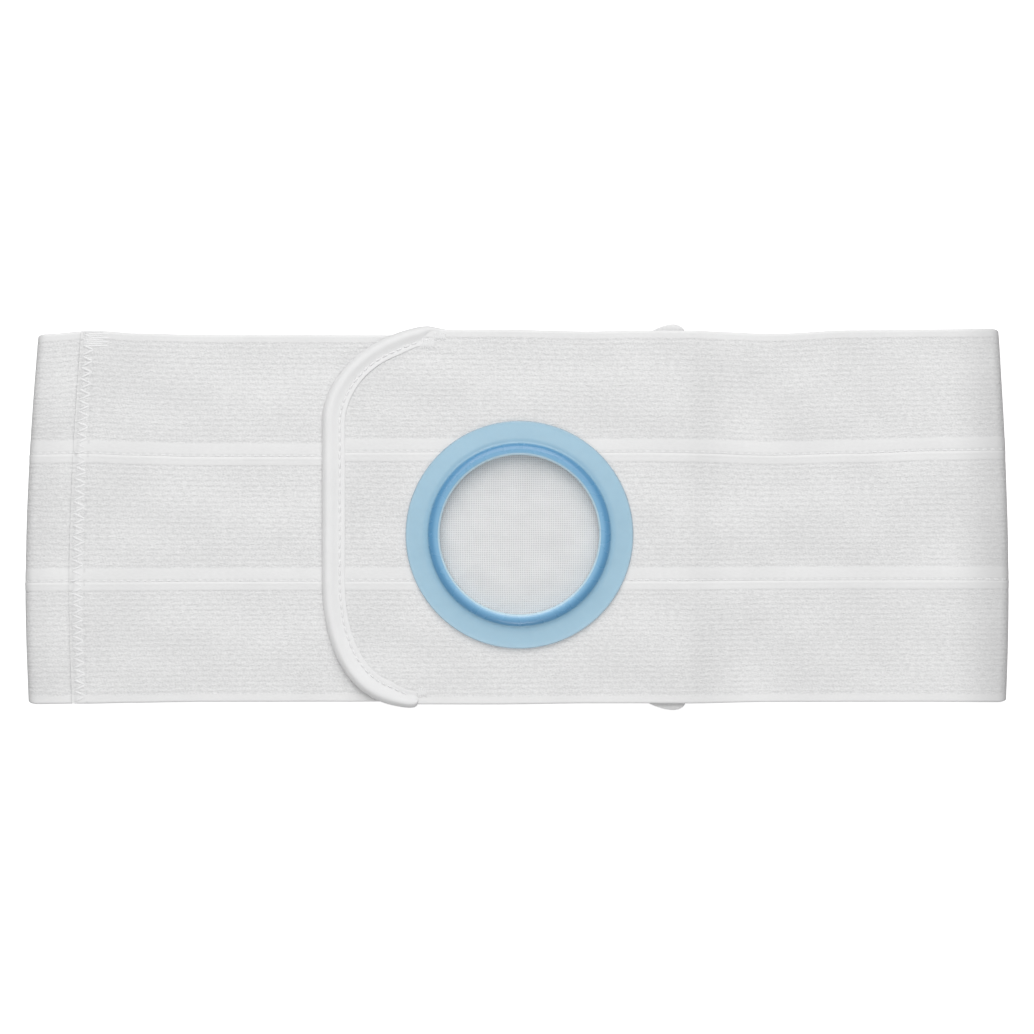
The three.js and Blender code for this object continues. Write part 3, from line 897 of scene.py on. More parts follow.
    def back_edges(self, x: Array) -> Array:
        """The back's edges and seams, a little inside those of the layer that lies over it."""
        right = self.edges(np.array([self.right_fold]), self.front_edges)
        left = self.edges(np.array([self.left_fold]), self.underlap_edges)
        t = smooth((x - self.left_fold) / (self.right_fold - self.left_fold))
        plain = left + (right - left) * t
        covered = x > self.flap_tip + self.corner_length
        over = np.where(covered, self.edges(x, self.front_edges), self.edges(x, self.underlap_edges))
        tuck = self.back_tuck * smooth((self.right_fold - np.abs(x)) / (12 * MM))
        return np.concatenate([np.minimum(plain[:2], over[:2] - tuck), plain[2:]])

    def run(
        self, start: float, end: float, height: Callable[[Array], Array], rows: Sequence[EdgeRow]
    ) -> Course:
        """A run of elastic from one place to another.

        Args:
            start: its first x.
            end: its last x.
            height: its height along x.
            rows: the table of its edges.

        Returns:
            The run's course.
        """
        x = np.linspace(start, end, max(3, round((end - start) / self.sample) + 1))
        step = 0.01 * MM
        slope = (height(x + step) - height(x - step)) / (2 * step)
        length = np.hypot(slope, 1)
        return Course(x, height(x), -slope / length, 1 / length, *self.edges(x, rows))

    def fold(self, centre: float, start: float, edges: Array) -> Course:
        """Half a turn of elastic round a fold, clockwise.

        Args:
            centre: the x of the fold's axis.
            start: the angle that it starts from.
            edges: its edges and seams.

        Returns:
            The fold's course, without its first and last place.
        """
        angle = start - math.pi * np.arange(1, self.fold_samples) / self.fold_samples
        middle = self.fold_radius - self.half
        nx, nz = np.cos(angle), np.sin(angle)
        same = edges + np.zeros_like(angle)
        return Course(centre + nx * middle, self.fold_radius + nz * middle, nx, nz, *same)

    def long_course(self) -> Course:
        """The long elastic: front, right fold, back, left fold and the splice's lower layer."""
        right = self.edges(np.array([self.right_fold]), self.front_edges)
        left = self.edges(np.array([self.left_fold]), self.underlap_edges)
        x = np.linspace(self.right_fold, self.left_fold, round(2 * self.right_fold / self.sample))
        zero = np.zeros_like(x)
        return self.run(self.flap_tip, self.right_fold, self.front, self.front_edges).joined(
            self.fold(self.right_fold, math.pi / 2, right),
            Course(x, zero + self.half, zero, zero - 1, *self.back_edges(x)),
            self.fold(self.left_fold, -math.pi / 2, left),
            self.run(self.left_fold, self.splice_end, self.back_turn, self.underlap_edges),
        )

    def underlap_course(self) -> Course:
        """The underlap, from its cut end to its bound end."""
        return self.run(self.splice_start, self.underlap_end, self.underlap, self.underlap_edges)

    def fullness(self, along: Array) -> Array:
        """The underlap's thickness near its cut end, which is pressed flat, as a share of the elastic's."""
        return 0.3 + 0.7 * smooth(along / self.cut_end)

    def bow(self, x: Array, y: Array) -> Array:
        """How far a place near a fold is moved along x by the fold's lean."""
        across = (y / self.half_width - self.bow_crest) / (1 - self.bow_crest)
        along = smooth((np.abs(x) - self.bow_start) / (self.half_length - self.bow_start))
        lean = np.where(x > 0, -self.bow_right, self.bow_left)
        return lean * np.abs(across) ** self.bow_power * along

    def ripple(self, x: Array, y: Array) -> Array:
        """The cloth's slow waves, always upwards."""
        long_wave = np.sin(x / (8.9 * MM) + 0.9 * np.sin(y / (21 * MM)) + 0.4)
        cross_wave = np.sin(y / (6.9 * MM) + 1.1 * np.sin(x / (33 * MM)) + 1.9)
        broad = np.sin(x / (19 * MM) - y / (16 * MM) + 2.2)
        to_ring = np.hypot(x - self.ring_offset[0], y - self.ring_offset[1])
        calm = np.where(x > self.flap_tip, smooth((to_ring - self.calm_radius) / (20 * MM)), 1)
        return self.ripple_height * calm * (0.5 + 0.14 * long_wave + 0.16 * cross_wave + 0.20 * broad)

    def free(self, x: Array) -> Array:
        """How freely the cloth waves at a place: not at the folds, nor where the flap's end lies on it."""
        past_fold = smooth((x - self.left_fold) / (25 * MM))
        at_left = past_fold * smooth((self.flap_tip - 5 * MM - x) / (16 * MM))
        at_right = smooth((x - self.flap_tip - 3 * MM) / (20 * MM))
        return at_left + at_right * smooth((self.right_fold - x) / (25 * MM))

    def on_front(self, x: Array, z: Array) -> Array:
        """1 where a height along x is the front's, and 0 on the layers below it."""
        return ((z > self.front(x) - 0.6 * MM) & (x > self.flap_tip - 1 * MM)).astype(float)

    def settle(self, x: Array, y: Array) -> Array:
        """How far the front alone is lifted at its loose corner, and drawn in below its tack."""
        corner, tack = (
            np.hypot((x - place[0]) / size[0], (y - place[1]) / size[1])
            for place, size in (
                (self.lifted_corner, self.lifted_size),
                (self.tack_place, self.tack_size),
            )
        )
        return self.lift_height * hump(corner, 1) - self.tack_depth * hump(tack, 1)

    def front_rise(self, x: Array, y: Array) -> Array:
        """How far all that lies on the front is moved up at a place."""
        return self.ripple(x, y) * self.free(x) + self.settle(x, y)

    def place(self, course: Course, along: Array, across: Array, lift: Array) -> tuple[Array, Array]:
        """Points on or above a course.

        Args:
            course: the course.
            along: lengths along it.
            across: places across the belt, 0 at its middle line, of the same shape as along.
            lift: distances outwards from the middle of the elastic's thickness.

        Returns:
            The points, and the outward normals there.
        """
        x, z, nx, nz, top, bottom, upper, lower = course.at(along)
        y = across * np.where(across > 0, top, bottom)
        seam = self.strip_width / 2
        y = y + upper * hump(across - seam, self.seam_reach) - lower * hump(across + seam, self.seam_reach)
        near_edge = smooth((np.abs(y) - self.half_width + self.corner_reach) / self.corner_reach)
        y = y - np.sign(y) * self.corner_pull * np.abs(nx) ** 3 * near_edge
        rise = self.ripple(x, y) * self.free(x) + self.settle(x, y) * self.on_front(x, z)
        rise = np.where(nz > 0.5, rise, 0)
        points = np.stack([x + nx * lift + self.bow(x, y), y, z + nz * lift + rise], axis=-1)
        points[..., 0] += self.shift[0]
        points[..., 1] += self.shift[1]
        return points, np.stack([nx, np.zeros_like(nx), nz], axis=-1)


# Sub-assemblies


def seat(piece: bpy.types.Object, finish: bpy.types.Material, slot: str, *nodes: str) -> bpy.types.Object:
    """Dresses a piece, ties it to the belt and reports it.

    Args:
        piece: the piece.
        finish: its material.
        slot: a material slot of the record; not used.
        nodes: the solids that it stands for.

    Returns:
        The piece.
    """
    piece.data.materials.clear()
    piece.data.materials.append(finish)
    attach(piece, ROOT)
    if nodes:
        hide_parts(*nodes)
    log.info("%s: %d faces", piece.name, len(piece.data.polygons))
    return piece


def cut(piece: bpy.types.Object, *cutters: bpy.types.Object) -> None:
    """Takes the cutters out of a piece.

    Args:
        piece: the piece.
        cutters: closed bodies.
    """
    for cutter in cutters:
        modifier = piece.modifiers.new("cut", "BOOLEAN")
        modifier.operation = "DIFFERENCE"
        modifier.solver = "EXACT"
        modifier.object = cutter
    graph = bpy.context.evaluated_depsgraph_get()
    solid = bpy.data.meshes.new_from_object(piece.evaluated_get(graph))
    piece.modifiers.clear()
    old = piece.data
    piece.data = solid
    bpy.data.meshes.remove(old)
    solid.polygons.foreach_set("use_smooth", [True] * len(solid.polygons))
    solid.set_sharp_from_angle(angle=math.radians(40))


@dataclass
class Flap:
    """The front's rounded end: its outline, which the elastic is cut to and the tape follows."""

    drape: Drape
    top_length: float = 45.2 * MM
    top_height: float = 38.6 * MM
    top_fullness: float = 1.92
    bottom_length: float = 37.8 * MM
    bottom_height: float = 53.0 * MM
    bottom_fullness: float = 2.3
    tail_top: float = 7.0 * MM
    tail_bottom: float = 2.4 * MM
    spacing: float = 0.8 * MM

    def corner(self, side: int) -> Array:
        """One rounded corner, from the belt's edge to the straight tip, as x and y.

        Args:
            side: 1 for the top corner and -1 for the bottom one.

        Returns:
            The corner's points.
        """
        drape = self.drape
        top, bottom = drape.edges(np.array([drape.flap_tip]), drape.front_edges)[:2]
        share = float((top if side > 0 else bottom)[0])
        length, height, fullness = (
            (self.top_length, self.top_height, self.top_fullness)
            if side > 0
            else (self.bottom_length, self.bottom_height, self.bottom_fullness)
        )
        reach = length - drape.shell
        angle = np.linspace(0, math.pi / 2, 160)
        x = drape.flap_tip + reach - reach * np.sin(angle) ** (2 / fullness)
        y = drape.half_width * share - height + height * np.cos(angle) ** (2 / fullness)
        return np.stack([x, side * y], axis=-1)

    def walk(self) -> tuple[Array, Array, Array]:
        """The flap's edge from the bottom tail to the top one, in even steps.

        Returns:
            The length along it, the points and the outward directions.
        """
        top, bottom = self.corner(1), self.corner(-1)
        line = np.concatenate(
            [[bottom[0] + (self.tail_bottom, 0)], bottom, top[::-1], [top[0] + (self.tail_top, 0)]]
        )
        length = np.concatenate([[0], np.cumsum(np.linalg.norm(np.diff(line, axis=0), axis=1))])
        even = np.linspace(0, length[-1], round(length[-1] / self.spacing) + 1)
        points = np.stack([np.interp(even, length, line[:, i]) for i in range(2)], axis=-1)
        along = unit(np.gradient(points, axis=0))
        return even, points, np.stack([-along[:, 1], along[:, 0]], axis=-1)

    def corner_cutter(self, side: int) -> bpy.types.Object:
        """A block that takes away the elastic outside one corner.

        Args:
            side: 1 for the top corner and -1 for the bottom one.

        Returns:
            The block.
        """
        line = self.corner(side)[::3]
        far_x = self.drape.flap_tip - 9 * MM
        far_y = side * (self.drape.half_width + 12 * MM)
        outline = np.concatenate([line, [[far_x, line[-1][1]], [far_x, far_y], [line[0][0], far_y]]])
        return self.block(f"cutter_{side}", outline[::-1] if side > 0 else outline)

    def ring_cutter(self, radius: float) -> bpy.types.Object:
        """A round block that takes away the elastic inside the ring.

        Args:
            radius: the block's radius.

        Returns:
            The block.
        """
        angle = TURN * np.arange(96) / 96
        centre = self.drape.ring_centre - self.drape.shift
        outline = centre + radius * np.stack([np.cos(angle), np.sin(angle)], axis=-1)
        return self.block("cutter_ring", outline)

    def block(self, name: str, outline: Array) -> bpy.types.Object:
        """An upright block that spans the front alone.

        Args:
            name: its name.
            outline: its outline, anticlockwise from above.

        Returns:
            The block, which isn't part of the belt.
        """
        low = self.drape.underlap_top + self.drape.gap
        high = self.drape.front_level + 8 * MM
        flat = outline + self.drape.shift
        count = len(flat)
        points = np.concatenate([np.c_[flat, np.full(count, low)], np.c_[flat, np.full(count, high)]])
        sides = [[i, (i + 1) % count, (i + 1) % count + count, i + count] for i in range(count)]
        ends = [list(range(count))[::-1], list(range(count, 2 * count))]
        return make_object(name, points, sides + ends)


@dataclass
class ElasticStrips:
    """The belt's elastic: three strips sewn edge to edge, in a long length and an underlap."""

    drape: Drape
    flap: Flap
    seam_band_low: float = 5.4 * MM
    seam_band_high: float = 3.5 * MM
    seam_round: float = 0.12 * MM
    edge_band: float = 3.0 * MM
    edge_round: float = 0.75 * MM
    groove: float = 0.06 * MM
    splice_row: float = 6.2 * MM
    hole_radius: float = 35.0 * MM

    def __post_init__(self) -> None:
        """Makes the strips' finishes, for the long length and for the spliced underlap."""
        self.finish = {strip: self.weave(f"elastic_{strip.value}_weave", strip, 0.0) for strip in Strip}
        self.spliced = {
            strip: self.weave(f"underlap_{strip.value}_weave", strip, self.splice_row) for strip in Strip
        }

    def weave(self, name: str, strip: Strip, splice: float) -> bpy.types.Material:
        """One strip's finish.

        Args:
            name: its name.
            strip: the strip.
            splice: where a row of needle holes crosses it, or 0.

        Returns:
            The material.
        """
        return ElasticFinish(
            name,
            low_band=self.edge_band if strip is Strip.BOTTOM else self.seam_band_low,
            high_band=self.edge_band if strip is Strip.TOP else self.seam_band_high,
            width=self.drape.strip_width,
            stitched=strip is not Strip.BOTTOM,
            high_line=0.07 if strip is Strip.TOP else 0.2,
            splice=splice,
        ).material()

    def low_edge(self, strip: Strip) -> float:
        """The place of a strip's lower edge across the belt."""
        return (list(Strip).index(strip) - 1.5) * self.drape.strip_width

    def columns(self) -> Array:
        """Places across a strip, from its lower edge, closer together near both edges."""
        near = np.array([0, 0.08, 0.2, 0.4, 0.7, 1.0, 1.4, 1.9, 2.5, 3.2, 3.9, 4.6, 5.4, 6.4]) * MM
        width = self.drape.strip_width
        middle = np.linspace(near[-1], width - near[-1], 20)[1:-1]
        return np.concatenate([near, middle, width - near[::-1]])

    def relief(self, strip: Strip, across: Array) -> Array:
        """How far a strip's outer face stands out or in, from its edges' sewing.

        Args:
            strip: the strip.
            across: distances from its lower edge.

        Returns:
            The relief.
        """
        above = self.drape.strip_width - across
        out = np.zeros_like(across)
        if strip is not Strip.BOTTOM:
            out += 0.10 * MM * smooth((self.seam_band_low - across) / (1.2 * MM))
            out -= self.groove * hump(across - 0.45 * MM, 0.6 * MM)
        if strip is not Strip.TOP:
            out += 0.06 * MM * smooth((self.seam_band_high - above) / (0.8 * MM))
            out += 0.10 * MM * hump(above - 0.75 * MM, 0.55 * MM)
            out -= 0.08 * MM * hump(above - self.seam_band_high - 0.5 * MM, 0.4 * MM)
        return out

    def sewn(self, strip: Strip, across: Array) -> Array:
        """Whether a place across a strip is nearer to a seam than to the belt's own edge."""
        upper = across > self.drape.strip_width / 2
        return np.where(upper, strip is not Strip.TOP, strip is not Strip.BOTTOM)

    def sway(self, along: Array, across: Array) -> Array:
        """The cloth's own soft unevenness, out of its face."""
        slow = np.sin(along / (23 * MM) + across / (31 * MM)) * np.sin(across / (17 * MM) + 0.7)
        quick = np.sin(along / (9.1 * MM) - across / (13 * MM) + 1.3) * np.sin(across / (7.7 * MM))
        return 0.07 * MM * slow + 0.025 * MM * quick

    def sheet(self, name: str, strip: Strip, course: Course, pressed: bool = False) -> bpy.types.Object:
        """Lays one strip along a course, as a closed sheet.

        Args:
            name: the piece's name.
            strip: the strip.
            course: the course it follows.
            pressed: whether its first end is pressed flat.

        Returns:
            The strip.
        """
        local = self.columns()
        end = np.linspace(0, self.drape.cut_end, 7)[1:-1] if pressed else []
        u, v = np.meshgrid(np.union1d(course.length, end), local, indexing="ij")
        across = v + self.low_edge(strip)
        near = np.minimum(v, self.drape.strip_width - v)
        rounding = np.where(self.sewn(strip, v), self.seam_round, self.edge_round)
        inside = np.clip(rounding - near, 0, None)
        drop = rounding - np.sqrt(rounding**2 - inside**2)
        half = self.drape.half - drop
        lift = half + self.relief(strip, v) + self.sway(u, across)
        if pressed:
            lift = lift - (lift + half) * (1 - self.drape.fullness(u))
        outer, _ = self.drape.place(course, u, across, lift)
        outer[..., 2] = np.maximum(outer[..., 2], 0)
        inner, _ = self.drape.place(course, u, across, -half)
        ring = np.concatenate([outer, inner[:, ::-1]], axis=1)
        places = np.concatenate([np.stack([u, v], -1), np.stack([u, v], -1)[:, ::-1]], axis=1)
        rows, columns = ring.shape[:2]
        faces = loop_faces(rows, columns, closed=False)[:, ::-1].tolist()
        low = [[c, c + 1, columns - 2 - c, columns - 1 - c] for c in range(len(local) - 1)]
        start = (rows - 1) * columns
        faces += low + [[start + i for i in reversed(face)] for face in low]
        return make_object(name, ring, faces, places.reshape(-1, 2))

    def build(self) -> None:
        """Builds every strip."""
        drape = self.drape
        corners = [self.flap.corner_cutter(side) for side in (1, -1)]
        cutters = [*corners, self.flap.ring_cutter(self.hole_radius)]
        long_course = drape.long_course()
        middle = drape.ring_centre[0] - drape.shift[0]
        for strip in Strip:
            course = long_course.trimmed(middle) if strip is Strip.MIDDLE else long_course
            piece = self.sheet(f"elastic_{strip.value}_cloth", strip, course)
            cut(piece, *cutters)
            seat(piece, self.finish[strip], "elastic", f"elastic_{strip.value}")
        tip = drape.run(drape.flap_tip, middle, drape.front, drape.front_edges)
        piece = self.sheet("flap_elastic_cloth", Strip.MIDDLE, tip)
        cut(piece, cutters[2])
        seat(piece, self.finish[Strip.MIDDLE], "elastic", "flap_elastic_middle")
        under = drape.underlap_course()
        for strip in Strip:
            piece = self.sheet(f"underlap_{strip.value}_cloth", strip, under, pressed=True)
            seat(piece, self.spliced[strip], "elastic", f"underlap_{strip.value}")
        for cutter in cutters:
            bpy.data.objects.remove(cutter)


@dataclass
class SeamStitching:
    """Rows of straight stitches that join the strips, on the outside of the belt."""

    drape: Drape
    strips: ElasticStrips
    thread: Thread = Thread(0.27 * MM, flatness=0.6)
    pitch: float = 3.3 * MM
    length: float = 2.7 * MM
    line: float = 0.5 * MM
    points: int = 6

    def row(self, course: Course, strip: Strip) -> tuple[Array, Array]:
        """One row of stitches along a course, at a strip's lower edge.

        Args:
            course: the course.
            strip: the strip above the seam.

        Returns:
            The stitches' points and the normals there.
        """
        starts = np.arange(0, course.length[-1] - self.length, self.pitch)
        t = np.linspace(0, 1, self.points)
        along = starts[:, None] + self.length * t[None] + self.pitch / 2 - self.length / 2
        wobble = 0.08 * MM * np.sin(starts * 1900.0)[:, None]
        across = np.full_like(along, self.strips.low_edge(strip) + self.line) + wobble
        sink = 0.34 * MM * (1 - np.sin(math.pi * np.clip(t, 0.02, 0.98)) ** 0.5)
        lift = self.drape.half + 0.02 * MM - sink[None] + np.zeros_like(along)
        return self.drape.place(course, along, across, lift)

    def outside(self, paths: Array, ups: Array) -> tuple[Array, Array]:
        """The stitches that aren't over the ring's opening or past the flap's tape."""
        drape = self.drape
        middle = paths.mean(axis=1)
        front = middle[:, 2] > drape.underlap_top + drape.gap
        to_ring = np.linalg.norm(middle[:, :2] - drape.ring_centre, axis=1)
        hidden = front & (to_ring < self.strips.hole_radius + 1.5 * MM)
        return paths[~hidden], ups[~hidden]

    def build(self) -> None:
        """Sews both seams of the long length and of the underlap."""
        finish = ThreadFinish("seam_thread").material()
        for part, course in (
            ("long", self.drape.long_course()),
            ("underlap", self.drape.underlap_course()),
        ):
            for strip in (Strip.MIDDLE, Strip.TOP):
                paths, ups = self.outside(*self.row(course, strip))
                piece = self.thread.sew(f"{part}_seam_stitches_{strip.value}", paths, ups)
                seat(piece, finish, "tape")


@dataclass
class SpliceStitching:
    """The wide zigzag that joins the underlap to the long elastic, and the tack at its top end."""

    drape: Drape
    thread: Thread = Thread(0.46 * MM, flatness=0.45)
    pitch: float = 4.56 * MM
    width: float = 6.0 * MM
    start: float = 0.9 * MM
    tack_width: float = 13.0 * MM
    tack_height: float = 5.6 * MM
    tack_rows: int = 8
    points: int = 9

    def stitch(self, course: Course, ends: Array) -> tuple[Array, Array]:
        """Lays straight lengths of thread over the underlap.

        Args:
            course: the underlap's course.
            ends: for each length, where it starts and ends, along and across.

        Returns:
            The lengths' points and the normals there.
        """
        t = np.linspace(0, 1, self.points)[None, :, None]
        place = ends[:, :1] + (ends[:, 1:] - ends[:, :1]) * t
        rise = np.sin(math.pi * np.clip(t[..., 0], 0.01, 0.99)) ** 0.3
        lift = self.drape.elastic * self.drape.fullness(place[..., 0]) - self.drape.half
        lift = lift + 0.02 * MM - 0.35 * MM * (1 - rise)
        return self.drape.place(course, place[..., 0], place[..., 1], lift)

    def build(self) -> None:
        """Sews the zigzag and the tack."""
        course = self.drape.underlap_course()
        finish = ThreadFinish("splice_thread").material()
        reach = self.drape.half_width - 0.8 * MM
        across = np.arange(-reach, reach, self.pitch / 2)
        side = np.where(np.arange(len(across)) % 2 == 0, self.start, self.width)
        corners = np.stack([side, across], axis=-1)
        paths, ups = self.stitch(course, np.stack([corners[:-1], corners[1:]], axis=1))
        seat(self.thread.sew("splice_zigzag", paths, ups), finish, "tape")
        rows = np.linspace(reach - self.tack_height, reach, self.tack_rows)
        ends = np.array([[[0.6 * MM, y], [self.tack_width, y + 0.35 * MM]] for y in rows])
        ends[1::2, 1, 0] *= 0.78
        paths, ups = self.stitch(course, ends)
        seat(self.thread.sew("splice_tack", paths, ups), finish, "tape")


@dataclass
class FlapBinding:
    """The tape folded round the flap's edge, its row of stitches and the tacks at its ends."""

    drape: Drape
    flap: Flap
    width: float = 9.6 * MM
    nose: float = 2.2 * MM
    skirt: float = 1.95 * MM
    low_round: float = 0.3 * MM
    sole: float = 0.22 * MM
    roll_middle: float = 3.1 * MM
    roll_reach: float = 3.9 * MM
    roll_height: float = 1.1 * MM
    inner_rest: float = 0.88 * MM
    inner_thickness: float = 0.36 * MM
    channel: float = 7.4 * MM
    channel_depth: float = 0.16 * MM
    end_round: float = 2.6 * MM
    bottom_share: float = 0.72
    top_share: float = 0.84
    top_tail_share: float = 0.42
    top_tail: float = 9.5 * MM
    taper_length: float = 16 * MM
    end_press: float = 0.5
    narrow_place: float = 36 * MM
    narrow_reach: float = 17 * MM
    narrow_share: float = 0.10
    stitch_pitch: float = 3.7 * MM
    stitch_length: float = 2.9 * MM
    thread: Thread = Thread(0.40 * MM, flatness=0.7)
    tack_thread: Thread = Thread(0.30 * MM, flatness=0.6)
    tack_spacing: float = 0.4 * MM
    inner_rim: float = 0.4 * MM
    tail_narrowing: float = 6 * MM
    press_length: float = 20 * MM
    sharp: float = 55.0

    def __post_init__(self) -> None:
        """Works out the tape's place round the elastic."""
        self.slot = self.drape.half + self.drape.gap
        self.top = self.slot + self.drape.tape

    def upper(self, inwards: Array) -> Array:
        """Height of the tape's upper face above the middle of the elastic.

        Args:
            inwards: distances from its folded edge.

        Returns:
            The heights.
        """
        t = np.clip(inwards / self.nose, 0, 1)
        off = np.clip((inwards - self.roll_middle) / self.roll_reach, -1, 1)
        rest = self.inner_rest + self.inner_thickness
        height = rest + self.roll_height * np.cos(math.pi / 2 * off) ** 2
        dip = self.channel_depth * hump(inwards - self.channel, 0.8 * MM)
        lip = np.clip(inwards - (self.width - self.inner_rim), 0, None) / self.inner_rim
        end = 0.25 * MM * (1 - np.sqrt(1 - np.clip(lip, 0, 1) ** 2))
        return (height + self.skirt) * np.sqrt(1 - (1 - t) ** 2) - self.skirt - dip - end

    def section(self) -> Array:
        """The tape's section: distance inwards from its folded edge, and height."""
        flat_end = self.width - self.inner_rim
        inwards = np.concatenate(
            [
                self.nose * (1 - np.cos(np.linspace(0, math.pi / 2, 9))),
                np.linspace(self.nose, flat_end, 36)[1:],
                flat_end + self.inner_rim * np.sin(np.linspace(0, math.pi / 2, 5))[1:],
            ]
        )
        above = np.stack([inwards, self.upper(inwards)], axis=-1)
        wall = self.drape.tape
        slot = np.array(
            [
                [self.width, self.inner_rest],
                [self.channel, self.slot],
                [wall, self.slot],
                [wall, -self.slot],
                [self.width, -self.slot],
            ]
        )
        back_in = np.concatenate([[self.width], np.linspace(flat_end, self.low_round, 9)])
        round_in = self.low_round * (1 - np.cos(np.linspace(math.pi / 2, 0, 7)))[1:-1]
        below_in = np.concatenate([back_in, round_in])
        t = np.clip(below_in / self.low_round, 0, 1)
        low = self.skirt + (self.top + self.sole - self.skirt) * np.sqrt(1 - (1 - t) ** 2)
        below = np.stack([below_in, -low], axis=-1)
        return np.concatenate([above, slot, below])

    def squeeze(self, even: Array) -> tuple[Array, Array]:
        """How the tape narrows to its ends.

        Args:
            even: lengths along the walk.

        Returns:
            Its width as a share, and how far its folded edge is moved outwards.
        """
        from_bottom, from_top = even, even[-1] - even
        share = 1 - (1 - self.bottom_share) * (1 - smooth(from_bottom / self.taper_length))
        share -= (1 - self.top_share) * (1 - smooth((from_top - self.top_tail) / self.taper_length))
        past_tail = (from_top - self.tail_narrowing) / self.tail_narrowing
        share -= (self.top_share - self.top_tail_share) * (1 - smooth(past_tail))
        out = 0.35 * MM * hump(from_top - self.top_tail, 6 * MM)
        out -= 1.1 * MM * smooth(1 - from_top / (9 * MM))
        out += 0.25 * MM * hump(from_bottom - 4 * MM, 4 * MM)
        corner = hump(from_top - self.narrow_place, self.narrow_reach)
        share -= self.narrow_share * corner
        out -= 0.5 * MM * corner
        cap = np.clip(1 - np.minimum(from_bottom, from_top * 2) / self.end_round, 0, 0.97)
        tip = np.sqrt(1 - cap**2)
        return share * tip, out - self.width * share * (1 - tip) * 0.45

    def lay(self, inwards: Array, height: Array, even: Array) -> Array:
        """Points of the tape.

        Args:
            inwards: distances from the folded edge.
            height: heights above the middle of the elastic.
            even: lengths along the walk, of the same shape.

        Returns:
            The points.
        """
        length, line, out = self.flap.walk()
        share, outwards = (np.interp(even, length, row) for row in self.squeeze(length))
        x, y, ox, oy = (np.interp(even, length, row) for row in (*line.T, *out.T))
        reach = self.drape.shell - inwards * share + outwards
        px, py = x + ox * reach, y + oy * reach
        pressed = self.end_press * smooth(1 - (length[-1] - even) / self.press_length)
        flat = np.clip(0.35 + share * 0.8, 0, 1) * (1 - pressed)
        z = self.drape.front(px) + height * flat + self.drape.front_rise(px, py)
        return np.stack([px + self.drape.shift[0], py + self.drape.shift[1], z], -1)

    def tape(self) -> bpy.types.Object:
        """Builds the folded tape.

        Returns:
            The tape.
        """
        section = self.section()
        even = self.flap.walk()[0]
        walk, inwards = np.meshgrid(even, section[:, 0], indexing="ij")
        height = np.broadcast_to(section[:, 1], walk.shape)
        points = self.lay(inwards, height, walk)
        around = np.concatenate([[0], np.cumsum(np.linalg.norm(np.diff(section, axis=0), axis=1))])
        places = np.stack([walk, np.broadcast_to(around, walk.shape)], axis=-1)
        rows, columns = walk.shape
        faces = loop_faces(rows, columns, closed=False).tolist() + end_faces(rows, columns)
        return make_object("flap_binding_tape", points, faces, places.reshape(-1, 2), self.sharp)

    def stitches(self) -> bpy.types.Object:
        """Sews the row of stitches in the tape's channel.

        Returns:
            The stitches.
        """
        end = self.flap.walk()[0][-1]
        starts = np.arange(5.0 * MM, end - 13 * MM, self.stitch_pitch)
        t = np.linspace(0, 1, 9)
        even = starts[:, None] + t[None] * self.stitch_length
        sink = 0.45 * MM * (1 - np.sin(math.pi * np.clip(t, 0.02, 0.98)) ** 0.45)
        base = float(self.upper(np.array([self.channel]))[0]) + 0.14 * MM
        inwards = np.full_like(even, self.channel)
        paths = self.lay(inwards, base - sink[None] + np.zeros_like(even), even)
        return self.thread.sew("flap_binding_stitches", paths, upwards(paths))

    def tack(
        self, name: str, low: tuple[float, float], high: tuple[float, float], lift: float
    ) -> bpy.types.Object:
        """Sews a dense little block of thread across a tape's end.

        Args:
            name: the piece's name.
            low: the block's lower left corner, with the belt's middle line at y = 0.
            high: its upper right corner.
            lift: how far its threads lie above the middle of the front's elastic.

        Returns:
            The tack.
        """
        turns = np.arange(round((high[0] - low[0]) / self.tack_spacing) + 1)
        x = low[0] + (high[0] - low[0]) * turns / turns[-1]
        y = np.where(turns % 2 == 0, low[1], high[1]) + 0.3 * MM * np.sin(turns * 2.3)
        t = np.linspace(0, 1, 11)
        px = x[:-1, None] + (x[1:] - x[:-1])[:, None] * t
        py = y[:-1, None] + (y[1:] - y[:-1])[:, None] * t
        rise = np.sin(math.pi * np.clip(t, 0.01, 0.99)) ** 0.5
        z = self.drape.front(px) + lift - 0.25 * MM * (1 - rise)[None] + self.drape.front_rise(px, py)
        paths = np.stack([px + self.drape.shift[0], py + self.drape.shift[1], z], axis=-1)
        return self.tack_thread.sew(name, paths, upwards(paths))

    def build(self) -> None:
        """Builds the tape, its stitches and its tacks."""
        thread = ThreadFinish("tape_thread").material()
        tape = seat(self.tape(), TapeFinish("flap_tape_twill").material(), "tape", "flap_binding")
        tacks = [
            self.tack("flap_tack_inner", (-39.6 * MM, 70.2 * MM), (-34.2 * MM, 74.8 * MM), 0.92 * MM),
            self.tack("flap_tack_top", (-34.4 * MM, 73.9 * MM), (-29.6 * MM, 77.0 * MM), 1.0 * MM),
            self.tack("flap_tack_bottom", (-40.9 * MM, -74.0 * MM), (-37.6 * MM, -70.4 * MM), 0.95 * MM),
        ]
        sewn = [seat(piece, thread, "tape") for piece in (self.stitches(), *tacks)]
        walk = float(self.flap.walk()[0][-1])
        around = 2 * float(self.width + self.drape.shell)


@dataclass(frozen=True)
class Ear:
    """A folded corner of the end tape, which stands out past one edge of the belt."""

    reach: float
    left_bend: float = 0.6
    right_bend: float = 0.5


